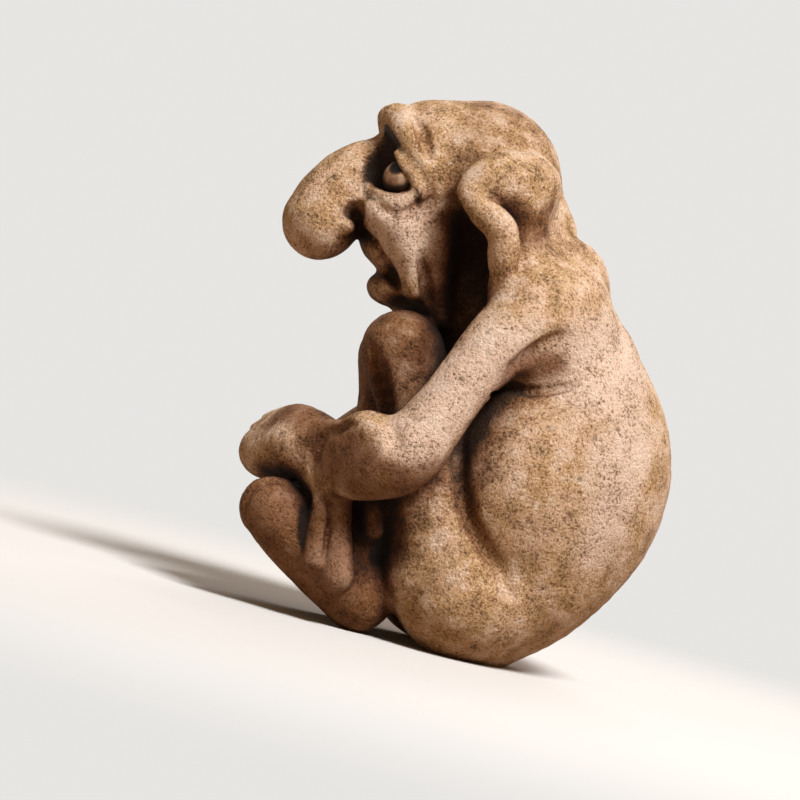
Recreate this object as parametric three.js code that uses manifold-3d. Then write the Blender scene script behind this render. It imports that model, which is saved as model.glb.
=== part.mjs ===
// A seated gargoyle figurine in cast stone that hugs its knees, as separate castings joined on steel pins.
// Millimetres, +Z up. The figure faces -X, its left side is -Y, and the origin lies on its seat flat.
import * as THREE from 'three';
import { mergeVertices } from 'three/addons/utils/BufferGeometryUtils.js';
import Module from 'manifold-3d';

const wasm = await Module();
wasm.setup();

// Joints
const JOINT_GAP = 0.3; // adhesive line between two castings
const PIN_GAP = 0.15; // adhesive line round a pin
const LARGE_PIN_RADIUS = 2.2; // neck, shoulders and hips
const SMALL_PIN_RADIUS = 1.2; // wrists, ankles and ears
const NECK_PIN_REACH = 11; // how far a pin goes into each casting
const SHOULDER_PIN_REACH = 8;
const HIP_PIN_REACH = 9;
const WRIST_PIN_REACH = 5;
const ANKLE_PIN_REACH = 6;
const EAR_PIN_REACH = 5;

// Flats that the figure stands on: how much of each rounded form is taken off
const SEAT_FLAT_DEPTH = 3;
const HIP_FLAT_DEPTH = 0.5;
const HEEL_FLAT_DEPTH = 0.5;

// Trunk: the spine from the seat to the neck, each place with its half depth and half width. Every place here
// and below is measured from the one it is on, with y away from the middle of the figure.
const SEAT_DEPTH = 13;
const SEAT = { x: 3, y: 0, z: SEAT_DEPTH - SEAT_FLAT_DEPTH, depth: SEAT_DEPTH, width: 21 };
const LOINS = { on: SEAT, x: 6, z: 15, depth: 20, width: 28 };
const BELLY = { on: LOINS, x: 1.6, z: 18, depth: 25.5, width: 30 };
const RIBS = { on: BELLY, x: -5.4, z: 17, depth: 20.2, width: 28 };
const WITHERS = { on: RIBS, x: -7.2, z: 16, depth: 14, width: 21 };
const NECK = { on: WITHERS, x: -10, z: 14, depth: 11, width: 12.5 };

// Fullness of the trunk: the flanks, the shoulder blades, the hump with a ridge from it to each shoulder, the
// nape, the sides of the neck behind the ears, and the throat and chest behind the knees
const FLANK = { on: BELLY, x: -7.6, y: 15.5, z: -3, depth: 17.5, width: 16.5, height: 24 };
const SHOULDER_BLADE = { on: RIBS, x: 5.8, y: 12.5, z: 5, depth: 10.5, width: 9.5, height: 12 };
const HUMP = { on: WITHERS, x: 2.3, z: 3.5, depth: 12.6, width: 18, height: 11.5 };
const RIDGE_ROOT = { on: HUMP, x: 1.7, y: 8, z: 4, radius: 8 };
const RIDGE = { on: RIDGE_ROOT, x: -6, y: 7, z: -2.5, radius: 6.8 };
const RIDGE_END = { on: RIDGE, x: -6.5, y: 4.5, z: -2.4, radius: 6.8 };
const NAPE = { on: NECK, x: 4, z: 1.5, depth: 10.8, width: 13, height: 9 };
const NECK_SIDE_TOP = { on: NECK, x: -2.5, y: 13, z: 2, radius: 5.5 };
const NECK_SIDE = { on: NECK_SIDE_TOP, x: 1, y: 1, z: -7, radius: 6.4 };
const NECK_SIDE_END = { on: NECK_SIDE, x: 1.5, y: 0.5, z: -7, radius: 7 };
const THROAT = { on: NECK, x: -3, z: -6, radius: 8 };
const BREAST = { on: THROAT, x: 3, z: -12, radius: 11 };
const CHEST = { on: BREAST, x: 4, z: -12, radius: 12 };

// Head: the skull, the face below its front, and the features on the face
const SKULL = { on: NECK, x: -8.2, z: 8.6, depth: 17.4, width: 17, height: 17.4 };
const FOREHEAD = { on: SKULL, x: -12.3, z: 3.1, depth: 11, width: 12.5, height: 11.2 };
const TEMPLES = { on: FOREHEAD, x: 1.5, z: -3.7, depth: 9.5, width: 13 };
const CHEEKBONES = { on: TEMPLES, x: 0.5, z: -11, depth: 10, width: 13.5 };
const JAW = { on: CHEEKBONES, x: 3, z: -9, depth: 9, width: 10 };
const CHIN = { on: JAW, x: 1.5, z: -6, depth: 7, width: 8 };
const LOWER_LIP = { on: CHIN, x: -7, z: -1.8, depth: 4.9, width: 8.5, height: 3.8 };
const UPPER_LIP = { on: JAW, x: -7.5, z: 3, depth: 7, width: 9.5, height: 5.6 };
const JOWL_ROOT = { on: CHEEKBONES, x: -10, y: 7.8, z: -0.4, radius: 4.4 };
const JOWL = { on: JOWL_ROOT, x: 5, y: 2.3, z: -2.5, radius: 5.2 };
const JOWL_TIP = { on: JOWL, x: 6, y: 0.9, z: -11.5, radius: 2.7 };
const JAW_FOLD_ROOT = { on: CHEEKBONES, x: 4.1, y: 10.6, z: -2, radius: 5 };
const JAW_FOLD_TIP = { on: JAW_FOLD_ROOT, x: 3.9, y: -2.1, z: -16.5, radius: 2.8 };
const NOSE_ROOT = { on: SKULL, x: -17.8, z: -2.1, depth: 7, width: 5.2 };
const NOSE_BRIDGE = { on: NOSE_ROOT, x: -7, z: -3.2, depth: 7.3, width: 6.2 };
const NOSE_BEND = { on: NOSE_BRIDGE, x: -4.5, z: -6, depth: 7.7, width: 7.6 };
const NOSE_BULB = { on: NOSE_BEND, x: -1.7, z: -5.7, depth: 8.2, width: 8.4 };
const NOSTRIL = { on: NOSE_BULB, x: 4.6, y: 6.6, z: 0.2, radius: 2 };
const BROW_INNER = { on: FOREHEAD, x: -9.2, y: 4, z: 5.2, radius: 3 };
const BROW_MIDDLE = { on: BROW_INNER, x: 4, y: 6.6, z: -5.4, radius: 3 };
const BROW_OUTER = { on: BROW_MIDDLE, x: 7.1, y: 2.8, z: -7.9, radius: 2 };
const EYE = { on: BROW_MIDDLE, x: -0.2, y: -1.6, z: -7.3, radius: 4 };

// Ears: a folded flap from the side of the skull, and the rim that curls out and hangs from it
const EAR_ROOT = { on: SKULL, x: 8.2, y: 14, z: 1.8, radius: 6 };
const EAR_FOLD = { on: EAR_ROOT, x: -6.5, y: 2.8, z: -2, radius: 6.4 };
const EAR_FRONT = { on: EAR_FOLD, x: -6.1, y: 2.6, z: -3.6, radius: 2.8 };
const EAR_RIM = { on: EAR_FRONT, x: 6.4, y: 4.6, z: -5.4, radius: 3.4 };
const EAR_TIP = { on: EAR_RIM, x: 2.8, y: -2.2, z: -11.8, radius: 2.8 };

// Arms: both leave the trunk alike, then the left forearm passes in front of the right one
const SHOULDER = { on: WITHERS, x: 3, y: 14.5, z: -1, radius: 11 };
const DELTOID = { on: SHOULDER, x: -5.3, y: 6, z: -2, radius: 9.5 };
const UPPER_ARM = { on: DELTOID, x: -7.2, y: 4, z: -7.5, radius: 7.4 };
const MID_ARM = { on: UPPER_ARM, x: -5.5, y: 2, z: -9.7, radius: 6.1 };
const ABOVE_ELBOW = { on: MID_ARM, x: -4.5, y: 1, z: -10.3, radius: 6.6 };
const ELBOW = { on: ABOVE_ELBOW, x: -4.1, y: -0.5, z: -6.8, radius: 8 };
const LEFT_FOREARM = { on: ELBOW, x: -6.8, y: -3, z: -3.3, radius: 8.3 };
const LEFT_WRIST = { on: LEFT_FOREARM, x: -6.9, y: -8.5, z: -1.4, radius: 7.6 };
const RIGHT_FOREARM = { on: ELBOW, x: -5.9, y: -3, z: -5.7, radius: 7.4 };
const RIGHT_WRIST = { on: RIGHT_FOREARM, x: -6.5, y: -10, z: -3.5, radius: 6 };
const SHOULDER_JOINT = 0.7; // share of the way from the shoulder to the upper arm that lies in the trunk

// Legs: folded up against the chest, with the hips on the ground beside the seat
const HIP_RADIUS = 14.3;
const HIP_AHEAD = 7.5; // of the seat
const HIP = { x: SEAT.x - HIP_AHEAD, y: 15, z: HIP_RADIUS - HIP_FLAT_DEPTH, radius: HIP_RADIUS };
const HAM = { on: HIP, x: -9, y: 1, z: 0.7, radius: 7.8 };
const THIGH = { on: HIP, x: -9.1, y: 0.3, z: 16.2, radius: 11 };
const ABOVE_KNEE = { on: THIGH, x: -7.2, y: -1.8, z: 16, radius: 8.9 };
const KNEE = { on: ABOVE_KNEE, x: -7.7, y: -3, z: 13.2, radius: 8.4 };
const HIP_JOINT = 0.05; // share of the way from the thigh to the loins that lies in the leg

// Feet: the heels stand on the ground and the toes point up and forwards, the left ones further
const HEEL_RADIUS = 8;
const HEEL_AHEAD = 20.1; // of the hip
const HEEL = { x: HIP.x - HEEL_AHEAD, y: 12, z: HEEL_RADIUS - HEEL_FLAT_DEPTH, radius: HEEL_RADIUS };
const ANKLE = { on: HEEL, x: -2.4, y: 0, z: 10.5, radius: 5.4 };
const SHIN = { on: ANKLE, x: 2, y: -0.6, z: 20, radius: 6.1 };
const INSTEP = { on: HEEL, x: -9.9, y: 0.5, z: 5.5, radius: 7.6 };
const LEFT_TOE_LINE = { on: INSTEP, x: -8.5, y: 0, z: 5, radius: 7 };
const RIGHT_TOE_LINE = { on: INSTEP, x: -5.4, y: 0, z: 3.4, radius: 7 };
const TOE_RADIUS = 3.4;
const TOE_LENGTH = 6.5;
const TOE_PITCH = 3.2; // between two toes
const TOES = 4;

// Hands: each palm wraps the other leg's shin, and its fingers point down along that leg's foot
const LEFT_PALM = { on: LEFT_WRIST, x: -5.7, y: -9, z: 1, radius: 8.2 };
const LEFT_KNUCKLES = { on: LEFT_PALM, x: -2.5, y: -10.5, z: -1.6, radius: 7.4 };
const LEFT_FIST = { on: LEFT_PALM, x: -5, y: -6.5, z: -4.2, depth: 5.4, width: 8.5, height: 4.8 };
const RIGHT_PALM = { on: RIGHT_WRIST, x: -1, y: -12, z: -1.5, radius: 5.6 };
const RIGHT_KNUCKLES = { on: RIGHT_PALM, x: 2.5, y: -14.5, z: 0.5, radius: 5 };
const LEFT_FIRST_FINGERTIP = { on: LEFT_KNUCKLES, x: 8, z: -19.4 };
const LEFT_MIDDLE_FINGERTIP = { on: LEFT_FIRST_FINGERTIP, x: 4.5, z: -2.5 };
const LEFT_LAST_FINGERTIP = { on: LEFT_MIDDLE_FINGERTIP, x: 4.5, z: 2 };
const RIGHT_FIRST_FINGERTIP = { on: RIGHT_KNUCKLES, x: 0, z: -15.5 };
const RIGHT_MIDDLE_FINGERTIP = { on: RIGHT_FIRST_FINGERTIP, x: 5.7, z: -2.2 };
const RIGHT_LAST_FINGERTIP = { on: RIGHT_MIDDLE_FINGERTIP, x: 4.3, z: 8.2 };
const FINGER_RADIUS = 2.4;
const FINGERTIP_RADIUS = 2.9;
const KNUCKLE_PITCH = 3.6; // between two knuckles
const FINGER_SIDE = point(INSTEP).y + INSTEP.radius + JOINT_GAP;

// Facets
const TRUNK_SIDES = 18;
const HEAD_SIDES = 14;
const LIMB_SIDES = 10;
const SMALL_SIDES = 7;
const STEPS_TO_NEXT_PLACE = 2;
const CAP_RINGS = 2;
const LARGEST_SIZE = 400; // larger than the figure, for cutting planes

const LEFT_HALF = {
  word: 'left',
  side: -1,
  forearm: LEFT_FOREARM,
  wrist: LEFT_WRIST,
  palm: LEFT_PALM,
  knuckles: LEFT_KNUCKLES,
  fist: [LEFT_FIST],
  fingertips: [LEFT_FIRST_FINGERTIP, LEFT_MIDDLE_FINGERTIP, LEFT_LAST_FINGERTIP],
  toeLine: LEFT_TOE_LINE,
};
const RIGHT_HALF = {
  word: 'right',
  side: 1,
  forearm: RIGHT_FOREARM,
  wrist: RIGHT_WRIST,
  palm: RIGHT_PALM,
  knuckles: RIGHT_KNUCKLES,
  fist: [],
  fingertips: [RIGHT_FIRST_FINGERTIP, RIGHT_MIDDLE_FINGERTIP, RIGHT_LAST_FINGERTIP],
  toeLine: RIGHT_TOE_LINE,
};
const HALVES = [LEFT_HALF, RIGHT_HALF];

// Places

function point({ on, x = 0, y = 0, z = 0 }, side = 1) {
  const offset = new THREE.Vector3(x, y * side, z);
  return on ? offset.add(point(on, side)) : offset;
}

function between(place, other) {
  const { x, y, z } = point(place).lerp(point(other), 1 / 2);
  return { x, y, z };
}

// Solids

function solid(geometry) {
  const bare = geometry.clone();
  bare.deleteAttribute('normal');
  bare.deleteAttribute('uv');
  const merged = mergeVertices(bare);
  const mesh = new wasm.Mesh({
    numProp: 3,
    vertProperties: merged.attributes.position.array,
    triVerts: new Uint32Array(merged.index.array),
  });
  return new wasm.Manifold(mesh);
}

function geometryOf(body) {
  const mesh = body.getMesh();
  const geometry = new THREE.BufferGeometry();
  geometry.setAttribute('position', new THREE.BufferAttribute(mesh.vertProperties, 3));
  geometry.setIndex(new THREE.BufferAttribute(mesh.triVerts, 1));
  geometry.computeVertexNormals();
  return geometry;
}

function join(bodies) {
  return bodies.reduce((whole, body) => whole.add(body));
}

// A body less its neighbours; thin flakes that a cut frees are left out.
function trim(body, neighbours) {
  const cut = neighbours.reduce((rest, neighbour) => rest.subtract(neighbour), body);
  const bodies = cut.decompose();
  return bodies.reduce((largest, next) => (next.volume() > largest.volume() ? next : largest));
}

// A closed round form that follows a curve through its places, with domed ends. Each place has a radius, or a
// half depth and half width where the form is wider than deep; grow makes the whole form that much thicker.
function sweep(places, { side = 1, sides = LIMB_SIDES, grow = 0 } = {}) {
  const straight = places.length === 2;
  const steps = straight ? 1 : STEPS_TO_NEXT_PLACE * (places.length - 1);
  const path = new THREE.CatmullRomCurve3(places.map((place) => point(place, side)), false, 'centripetal');
  const girth = new THREE.CatmullRomCurve3(
    places.map((place) => new THREE.Vector3(place.depth ?? place.radius, place.width ?? place.radius, 0)),
  );
  const frames = path.computeFrenetFrames(steps, false);
  const widthIsNormal = Math.abs(frames.normals[0].y) > Math.abs(frames.binormals[0].y);
  const ringAt = (step, along, shrink) => {
    const radii = girth.getPoint(step / steps).addScalar(grow);
    const normalRadius = shrink * (widthIsNormal ? radii.y : radii.x);
    const binormalRadius = shrink * (widthIsNormal ? radii.x : radii.y);
    const reach = along * Math.min(radii.x, radii.y);
    const centre = path.getPoint(step / steps).addScaledVector(frames.tangents[step], reach);
    return Array.from({ length: sides }, (_, i) => {
      const angle = (2 * Math.PI * i) / sides;
      return centre
        .clone()
        .addScaledVector(frames.normals[step], Math.cos(angle) * normalRadius)
        .addScaledVector(frames.binormals[step], Math.sin(angle) * binormalRadius);
    });
  };
  const capAngles = Array.from({ length: CAP_RINGS }, (_, i) => ((i + 1) / (CAP_RINGS + 1)) * (Math.PI / 2));
  const startCap = capAngles.map((angle) => ringAt(0, -Math.sin(angle), Math.cos(angle))).reverse();
  const endCap = capAngles.map((angle) => ringAt(steps, Math.sin(angle), Math.cos(angle)));
  const body = Array.from({ length: steps + 1 }, (_, step) => ringAt(step, 0, 1));
  const [start] = ringAt(0, -1, 0);
  const [end] = ringAt(steps, 1, 0);
  return solid(closedRings([...startCap, ...body, ...endCap], start, end));
}

// One surface over a stack of rings, closed by a point at each end.
function closedRings(rings, start, end) {
  const sides = rings[0].length;
  const points = [start, ...rings.flat(), end];
  const index = (ring, i) => 1 + ring * sides + (i % sides);
  const last = points.length - 1;
  const triangles = [];
  for (let i = 0; i < sides; i += 1) {
    triangles.push(0, index(0, i + 1), index(0, i));
    triangles.push(last, index(rings.length - 1, i), index(rings.length - 1, i + 1));
    for (let ring = 0; ring + 1 < rings.length; ring += 1) {
      triangles.push(index(ring, i), index(ring, i + 1), index(ring + 1, i + 1));
      triangles.push(index(ring, i), index(ring + 1, i + 1), index(ring + 1, i));
    }
  }
  const geometry = new THREE.BufferGeometry().setFromPoints(points);
  geometry.setIndex(triangles);
  return geometry;
}

// An egg-shaped form with its own half depth, half width and half height, or a ball with one radius.
function ball(place, { side = 1, sides = HEAD_SIDES, grow = 0 } = {}) {
  const geometry = new THREE.SphereGeometry(1, sides, Math.round((sides * 2) / 3));
  geometry.rotateX(Math.PI / 2);
  geometry.scale(
    (place.depth ?? place.radius) + grow,
    (place.width ?? place.radius) + grow,
    (place.height ?? place.radius) + grow,
  );
  const centre = point(place, side);
  geometry.translate(centre.x, centre.y, centre.z);
  return solid(geometry);
}

// A straight pin between two castings, its middle at the joint.
function pin({ joint, direction, radius, reach }, grow = 0) {
  const geometry = new THREE.CylinderGeometry(radius + grow, radius + grow, 2 * (reach + grow), LIMB_SIDES);
  const axis = new THREE.Vector3(0, 1, 0);
  const turn = new THREE.Quaternion().setFromUnitVectors(axis, direction.clone().normalize());
  geometry.applyQuaternion(turn);
  geometry.translate(joint.x, joint.y, joint.z);
  return solid(geometry);
}

function belowGround() {
  const geometry = new THREE.BoxGeometry(LARGEST_SIZE, LARGEST_SIZE, LARGEST_SIZE);
  geometry.translate(0, 0, -LARGEST_SIZE / 2);
  return solid(geometry);
}

// Forms of the castings, before they are cut to fit each other

function trunkForm(grow) {
  const sideFullness = ({ side }) => [
    ball(FLANK, { side, grow }),
    ball(SHOULDER_BLADE, { side, sides: LIMB_SIDES, grow }),
    sweep([RIDGE_ROOT, RIDGE, RIDGE_END], { side, grow }),
    sweep([NECK_SIDE_TOP, NECK_SIDE, NECK_SIDE_END], { side, grow }),
  ];
  return join([
    sweep([SEAT, LOINS, BELLY, RIBS, WITHERS, NECK], { sides: TRUNK_SIDES, grow }),
    sweep([THROAT, BREAST, CHEST], { grow }),
    ball(HUMP, { grow }),
    ball(NAPE, { grow }),
    ...HALVES.flatMap(sideFullness),
  ]);
}

function headForm(grow) {
  const sideFeatures = ({ side }) => [
    sweep([BROW_INNER, BROW_MIDDLE, BROW_OUTER], { side, sides: SMALL_SIDES, grow }),
    sweep([JOWL_ROOT, JOWL, JOWL_TIP], { side, sides: SMALL_SIDES, grow }),
    sweep([JAW_FOLD_ROOT, JAW_FOLD_TIP], { side, sides: SMALL_SIDES, grow }),
    ball(NOSTRIL, { side, sides: SMALL_SIDES, grow }),
  ];
  return join([
    ball(SKULL, { grow }),
    ball(FOREHEAD, { grow }),
    sweep([TEMPLES, CHEEKBONES, JAW, CHIN], { sides: HEAD_SIDES, grow }),
    ball(UPPER_LIP, { sides: LIMB_SIDES, grow }),
    ball(LOWER_LIP, { sides: LIMB_SIDES, grow }),
    sweep([NOSE_ROOT, NOSE_BRIDGE, NOSE_BEND, NOSE_BULB], { grow }),
    ...HALVES.flatMap(sideFeatures),
  ]);
}

function eyeForm({ side }, grow) {
  return ball(EYE, { side, sides: LIMB_SIDES, grow });
}

function earForm({ side }, grow) {
  const flap = sweep([EAR_ROOT, EAR_FOLD], { side, grow });
  const rim = sweep([EAR_FOLD, EAR_FRONT, EAR_RIM, EAR_TIP], { side, sides: SMALL_SIDES, grow });
  return join([flap, rim]);
}

function armForm({ side, forearm, wrist }, grow) {
  const upperArm = [SHOULDER, DELTOID, UPPER_ARM, MID_ARM, ABOVE_ELBOW];
  return sweep([...upperArm, ELBOW, forearm, wrist], { side, grow });
}

function handForm({ side, wrist, palm, knuckles, fist, fingertips }, grow) {
  const middle = (fingertips.length - 1) / 2;
  const outside = -FINGER_SIDE - point(knuckles).y;
  const fingerForm = (tip, i) => {
    const root = { on: knuckles, x: (i - middle) * KNUCKLE_PITCH, radius: FINGER_RADIUS };
    const end = { on: tip, y: outside, radius: FINGERTIP_RADIUS };
    const bend = {
      ...between(root, end),
      y: point(end).y + FINGER_RADIUS / 2,
      z: point(knuckles).z - FINGER_RADIUS,
      radius: FINGER_RADIUS,
    };
    return sweep([root, bend, end], { side, sides: SMALL_SIDES, grow });
  };
  const fistForm = (place) => ball(place, { side, sides: LIMB_SIDES, grow });
  return join([
    sweep([wrist, palm, knuckles], { side, grow }),
    ...fist.map(fistForm),
    ...fingertips.map(fingerForm),
  ]);
}

function legForm({ side }, grow) {
  const thigh = sweep([HIP, THIGH, ABOVE_KNEE, KNEE], { side, grow });
  const shin = sweep([KNEE, SHIN, ANKLE], { side, grow });
  return join([thigh, shin, ball(HAM, { side, sides: LIMB_SIDES, grow })]);
}

function footForm({ side, toeLine }, grow) {
  const forwards = point(toeLine).sub(point(INSTEP)).setLength(TOE_LENGTH);
  const toeForm = (_, i) => {
    const across = (i - (TOES - 1) / 2) * TOE_PITCH;
    const root = { on: toeLine, y: across, radius: TOE_RADIUS };
    const tip = { on: root, ...forwards, radius: TOE_RADIUS };
    return sweep([root, tip], { side, sides: SMALL_SIDES, grow });
  };
  return join([sweep([HEEL, INSTEP, toeLine], { side, grow }), ...Array.from({ length: TOES }, toeForm)]);
}

// Pins, each with the place of its joint, the way it points, its radius and its reach into each casting

// A pin out of the domed end of one casting, towards the middle of the casting that caps it.
function endPin(end, next, side, radius, reach) {
  const direction = point(next, side).sub(point(end, side)).normalize();
  const joint = point(end, side).addScaledVector(direction, end.radius ?? Math.min(end.depth, end.width));
  return { joint, direction, radius, reach };
}

// A pin along the line between two places, with the joint at a share of the way.
function linePin(from, to, share, side, reach) {
  const joint = point(from, side).lerp(point(to, side), share);
  const direction = point(to, side).sub(point(from, side));
  return { joint, direction, radius: LARGE_PIN_RADIUS, reach };
}

function neckPin() {
  return endPin(NECK, SKULL, 1, LARGE_PIN_RADIUS, NECK_PIN_REACH);
}

function shoulderPin({ side }) {
  return linePin(SHOULDER, UPPER_ARM, SHOULDER_JOINT, side, SHOULDER_PIN_REACH);
}

function hipPin({ side }) {
  return linePin(THIGH, LOINS, HIP_JOINT, side, HIP_PIN_REACH);
}

function wristPin({ side, wrist, palm }) {
  return endPin(wrist, palm, side, SMALL_PIN_RADIUS, WRIST_PIN_REACH);
}

function anklePin({ side }) {
  return endPin(ANKLE, HEEL, side, SMALL_PIN_RADIUS, ANKLE_PIN_REACH);
}

function earPin({ side }) {
  const direction = point(EAR_FOLD, side).sub(point(SKULL));
  const size = new THREE.Vector3(SKULL.depth, SKULL.width, SKULL.height);
  const joint = point(SKULL).addScaledVector(direction, 1 / direction.clone().divide(size).length());
  return { joint, direction, radius: SMALL_PIN_RADIUS, reach: EAR_PIN_REACH };
}

// Materials

const CAST_STONE = new THREE.MeshStandardMaterial({ color: 0xb59a72, roughness: 0.9, metalness: 0 });
const PALE_STONE = new THREE.MeshStandardMaterial({ color: 0xb9a58c, roughness: 0.6, metalness: 0 });
const STEEL = new THREE.MeshStandardMaterial({ color: 0x9a9c9e, roughness: 0.4, metalness: 1 });

// Assembly: each casting is cut by the floor, by the castings placed before it, and by the pins that hold it

const figure = new THREE.Group();
figure.name = 'gargoyle_figurine';
const pins = [];
const cutters = [belowGround()];

function add(name, body, material) {
  const mesh = new THREE.Mesh(geometryOf(body), material);
  mesh.name = name;
  figure.add(mesh);
}

function addPin(name, place) {
  pins.push(pin(place, PIN_GAP));
  add(name, pin(place), STEEL);
}

function addCasting(name, form, material = CAST_STONE) {
  add(name, trim(form(0), [...cutters, ...pins]), material);
  cutters.push(form(JOINT_GAP));
}

function addPair(name, form, material) {
  HALVES.forEach((half) => addCasting(`${half.word}_${name}`, (grow) => form(half, grow), material));
}

addPin('neck_pin', neckPin());
for (const half of HALVES) {
  addPin(`${half.word}_shoulder_pin`, shoulderPin(half));
  addPin(`${half.word}_hip_pin`, hipPin(half));
  addPin(`${half.word}_wrist_pin`, wristPin(half));
  addPin(`${half.word}_ankle_pin`, anklePin(half));
  addPin(`${half.word}_ear_pin`, earPin(half));
}
addPair('eye', eyeForm, PALE_STONE);
addCasting('torso', trunkForm);
addCasting('head', headForm);
addPair('leg', legForm);
addPair('arm', armForm);
addPair('hand', handForm);
addPair('foot', footForm);
addPair('ear', earForm);

export default figure;
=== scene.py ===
# %% [markdown]
# # A gargoyle in cast stone
# This lesson dresses a seated gargoyle: a figurine of about 115 mm that hugs its knees. The solids of its
# parts come from a imported model, the frame, and stand where they belong, in metres. Here they get the skin
# of a carved figure: folds, lids, lips, toes, pits, and the brown wash that settles in the hollows, with
# painted shade and painted light laid over the stone.

# %% Load the frame
import math

import bpy
import numpy as np
from mathutils import Matrix, Vector


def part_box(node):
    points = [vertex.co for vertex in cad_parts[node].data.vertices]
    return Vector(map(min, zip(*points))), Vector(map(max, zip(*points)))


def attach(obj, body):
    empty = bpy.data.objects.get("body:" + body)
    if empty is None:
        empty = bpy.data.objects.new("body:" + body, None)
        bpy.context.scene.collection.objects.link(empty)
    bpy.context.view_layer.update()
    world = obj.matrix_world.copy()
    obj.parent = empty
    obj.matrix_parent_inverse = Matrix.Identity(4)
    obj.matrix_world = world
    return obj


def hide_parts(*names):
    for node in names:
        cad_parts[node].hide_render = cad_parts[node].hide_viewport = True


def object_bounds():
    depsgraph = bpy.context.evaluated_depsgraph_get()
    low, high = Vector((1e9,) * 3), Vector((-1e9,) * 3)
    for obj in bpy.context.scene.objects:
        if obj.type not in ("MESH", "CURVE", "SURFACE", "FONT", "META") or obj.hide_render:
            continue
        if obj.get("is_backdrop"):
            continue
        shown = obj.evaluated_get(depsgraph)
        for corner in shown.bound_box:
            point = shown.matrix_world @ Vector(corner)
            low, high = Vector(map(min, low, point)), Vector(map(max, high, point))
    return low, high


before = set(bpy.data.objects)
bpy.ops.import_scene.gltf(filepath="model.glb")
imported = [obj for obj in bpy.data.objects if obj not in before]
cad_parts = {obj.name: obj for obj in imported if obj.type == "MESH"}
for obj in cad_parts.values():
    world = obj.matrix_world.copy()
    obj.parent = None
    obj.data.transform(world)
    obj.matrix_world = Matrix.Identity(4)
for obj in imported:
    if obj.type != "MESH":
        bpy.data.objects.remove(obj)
cad_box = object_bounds()
MM = 0.001


def new_object(name, data):
    """An object with its data, put into the scene."""
    thing = bpy.data.objects.new(name, data)
    bpy.context.scene.collection.objects.link(thing)
    return thing


print("frame:", len(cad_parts), "nodes, box in mm", (np.ptp(cad_box, axis=0) / MM).round(1))

# %% [markdown]
# ## The camera
# The photograph shows the figure leaning back. It stands on its seat and heels, which share a line that
# slopes 15 degrees in the picture. The model could be tilted to match, but then it wouldn't stand where the
# frame says, so the camera rolls instead. It looks at the left side, a little from the front. The distance
# and the lens give the picture's scale: one pixel at the figure's middle plane covers 120 mm divided by the
# 563 pixels of its height.

# %% Camera
PIXELS = 800
FIGURE_HEIGHT = 120
FIGURE_PIXELS = 563
PIXEL_SIZE = FIGURE_HEIGHT / FIGURE_PIXELS
SEAT_PIXEL = (480, 661)
LEAN = math.radians(15)
VIEW_AZIMUTH = math.radians(-8)
VIEW_ELEVATION = math.radians(2)
VIEW_DISTANCE = 700
SEAT_OFFSET = 6
SENSOR = 36
CLIP_START = 0.01


def standing(point):
    """A point of the leaning figure, in mm from its lowest point, turned back by the lean about y."""
    x, y, z = point
    return Vector((
        math.cos(LEAN) * x - math.sin(LEAN) * z,
        y,
        math.sin(LEAN) * x + math.cos(LEAN) * z,
    ))


def make_camera():
    """A camera on the line from the picture's middle point, with its up and right turned by the lean."""
    away = Vector((
        math.sin(VIEW_AZIMUTH) * math.cos(VIEW_ELEVATION),
        -math.cos(VIEW_AZIMUTH) * math.cos(VIEW_ELEVATION),
        math.sin(VIEW_ELEVATION),
    ))
    right = Vector((0, 0, 1)).cross(away).normalized()
    up = away.cross(right)
    half = PIXELS / 2
    aim = Vector(((half - SEAT_PIXEL[0]) * PIXEL_SIZE, 0, (SEAT_PIXEL[1] - half) * PIXEL_SIZE))
    place = standing(aim + away * VIEW_DISTANCE) + Vector((SEAT_OFFSET, 0, 0))
    data = bpy.data.cameras.new("photo_camera")
    data.sensor_width = SENSOR
    data.lens = VIEW_DISTANCE / PIXEL_SIZE * SENSOR / PIXELS
    data.clip_start = CLIP_START
    camera = new_object("photo_camera", data)
    turn = Matrix([standing(axis) for axis in (right, up, away)]).transposed()
    camera.matrix_world = Matrix.Translation(place * MM) @ turn.to_4x4()
    bpy.context.scene.camera = camera
    return camera


camera = make_camera()
camera_place = np.array(camera.matrix_world.translation) / MM
print("camera: lens", round(camera.data.lens), "mm, at", camera_place.round(), "mm")

# %% [markdown]
# ## Places from the frame
# Every form below is placed from a part of the frame, such as the middle of the head's box or of an arm's,
# so a fold goes where its part goes. The figure is nearly the same on both sides. Most forms are given
# once, with y counted away from the middle plane, and then mirrored, because a mirrored point is cheaper
# than a mirrored mesh.

# %% Places
SIDES = {"left": -1, "right": 1}
LEFT = SIDES["left"]
SIDE_ON = [0, 2]
BEHIND = [1, 2]


def middle(node):
    """The middle of a node's box, in millimetres: half the sum of its two corners."""
    low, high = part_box(node)
    return np.array(low + high) / 2 / MM


def mirrored(side, points):
    """Points with y counted away from the middle plane, brought to one side: y times the side's sign."""
    points = np.array(points, float)
    points[..., 1] *= side
    return points


def beside(word, kind):
    """The middle of a left or right part, with y counted away from the middle plane."""
    return mirrored(SIDES[word], middle(word + "_" + kind))


def around(place, points):
    """Points given from a place: it is added to their first coordinates, and the sizes after these stay."""
    points = np.array(points, float)
    points[..., :len(place)] += place
    return points


TORSO = middle("torso")
HEAD = middle("head")
EAR = beside("right", "ear")
print("middles in mm: torso", TORSO.round(1), "head", HEAD.round(1), "ear", EAR.round(1))

# %% [markdown]
# ## Clay as a field of distances
# A carved figure has no edges to build on: an arm flows into the back, and a brow into a forehead. One grid
# of two parameters can't follow that, and tubes that poke into each other would show a hard seam at each
# joint. So the clay is a field: at each point of a block of space, the distance to the surface, negative
# inside. A profile that is carried along a path is still how each form is given, and two forms melt
# together by a smooth minimum.

# %% The block of space
PITCH = 0.52
MARGIN = 4
FAR = 50.0
MM_IN_CM = 10

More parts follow.
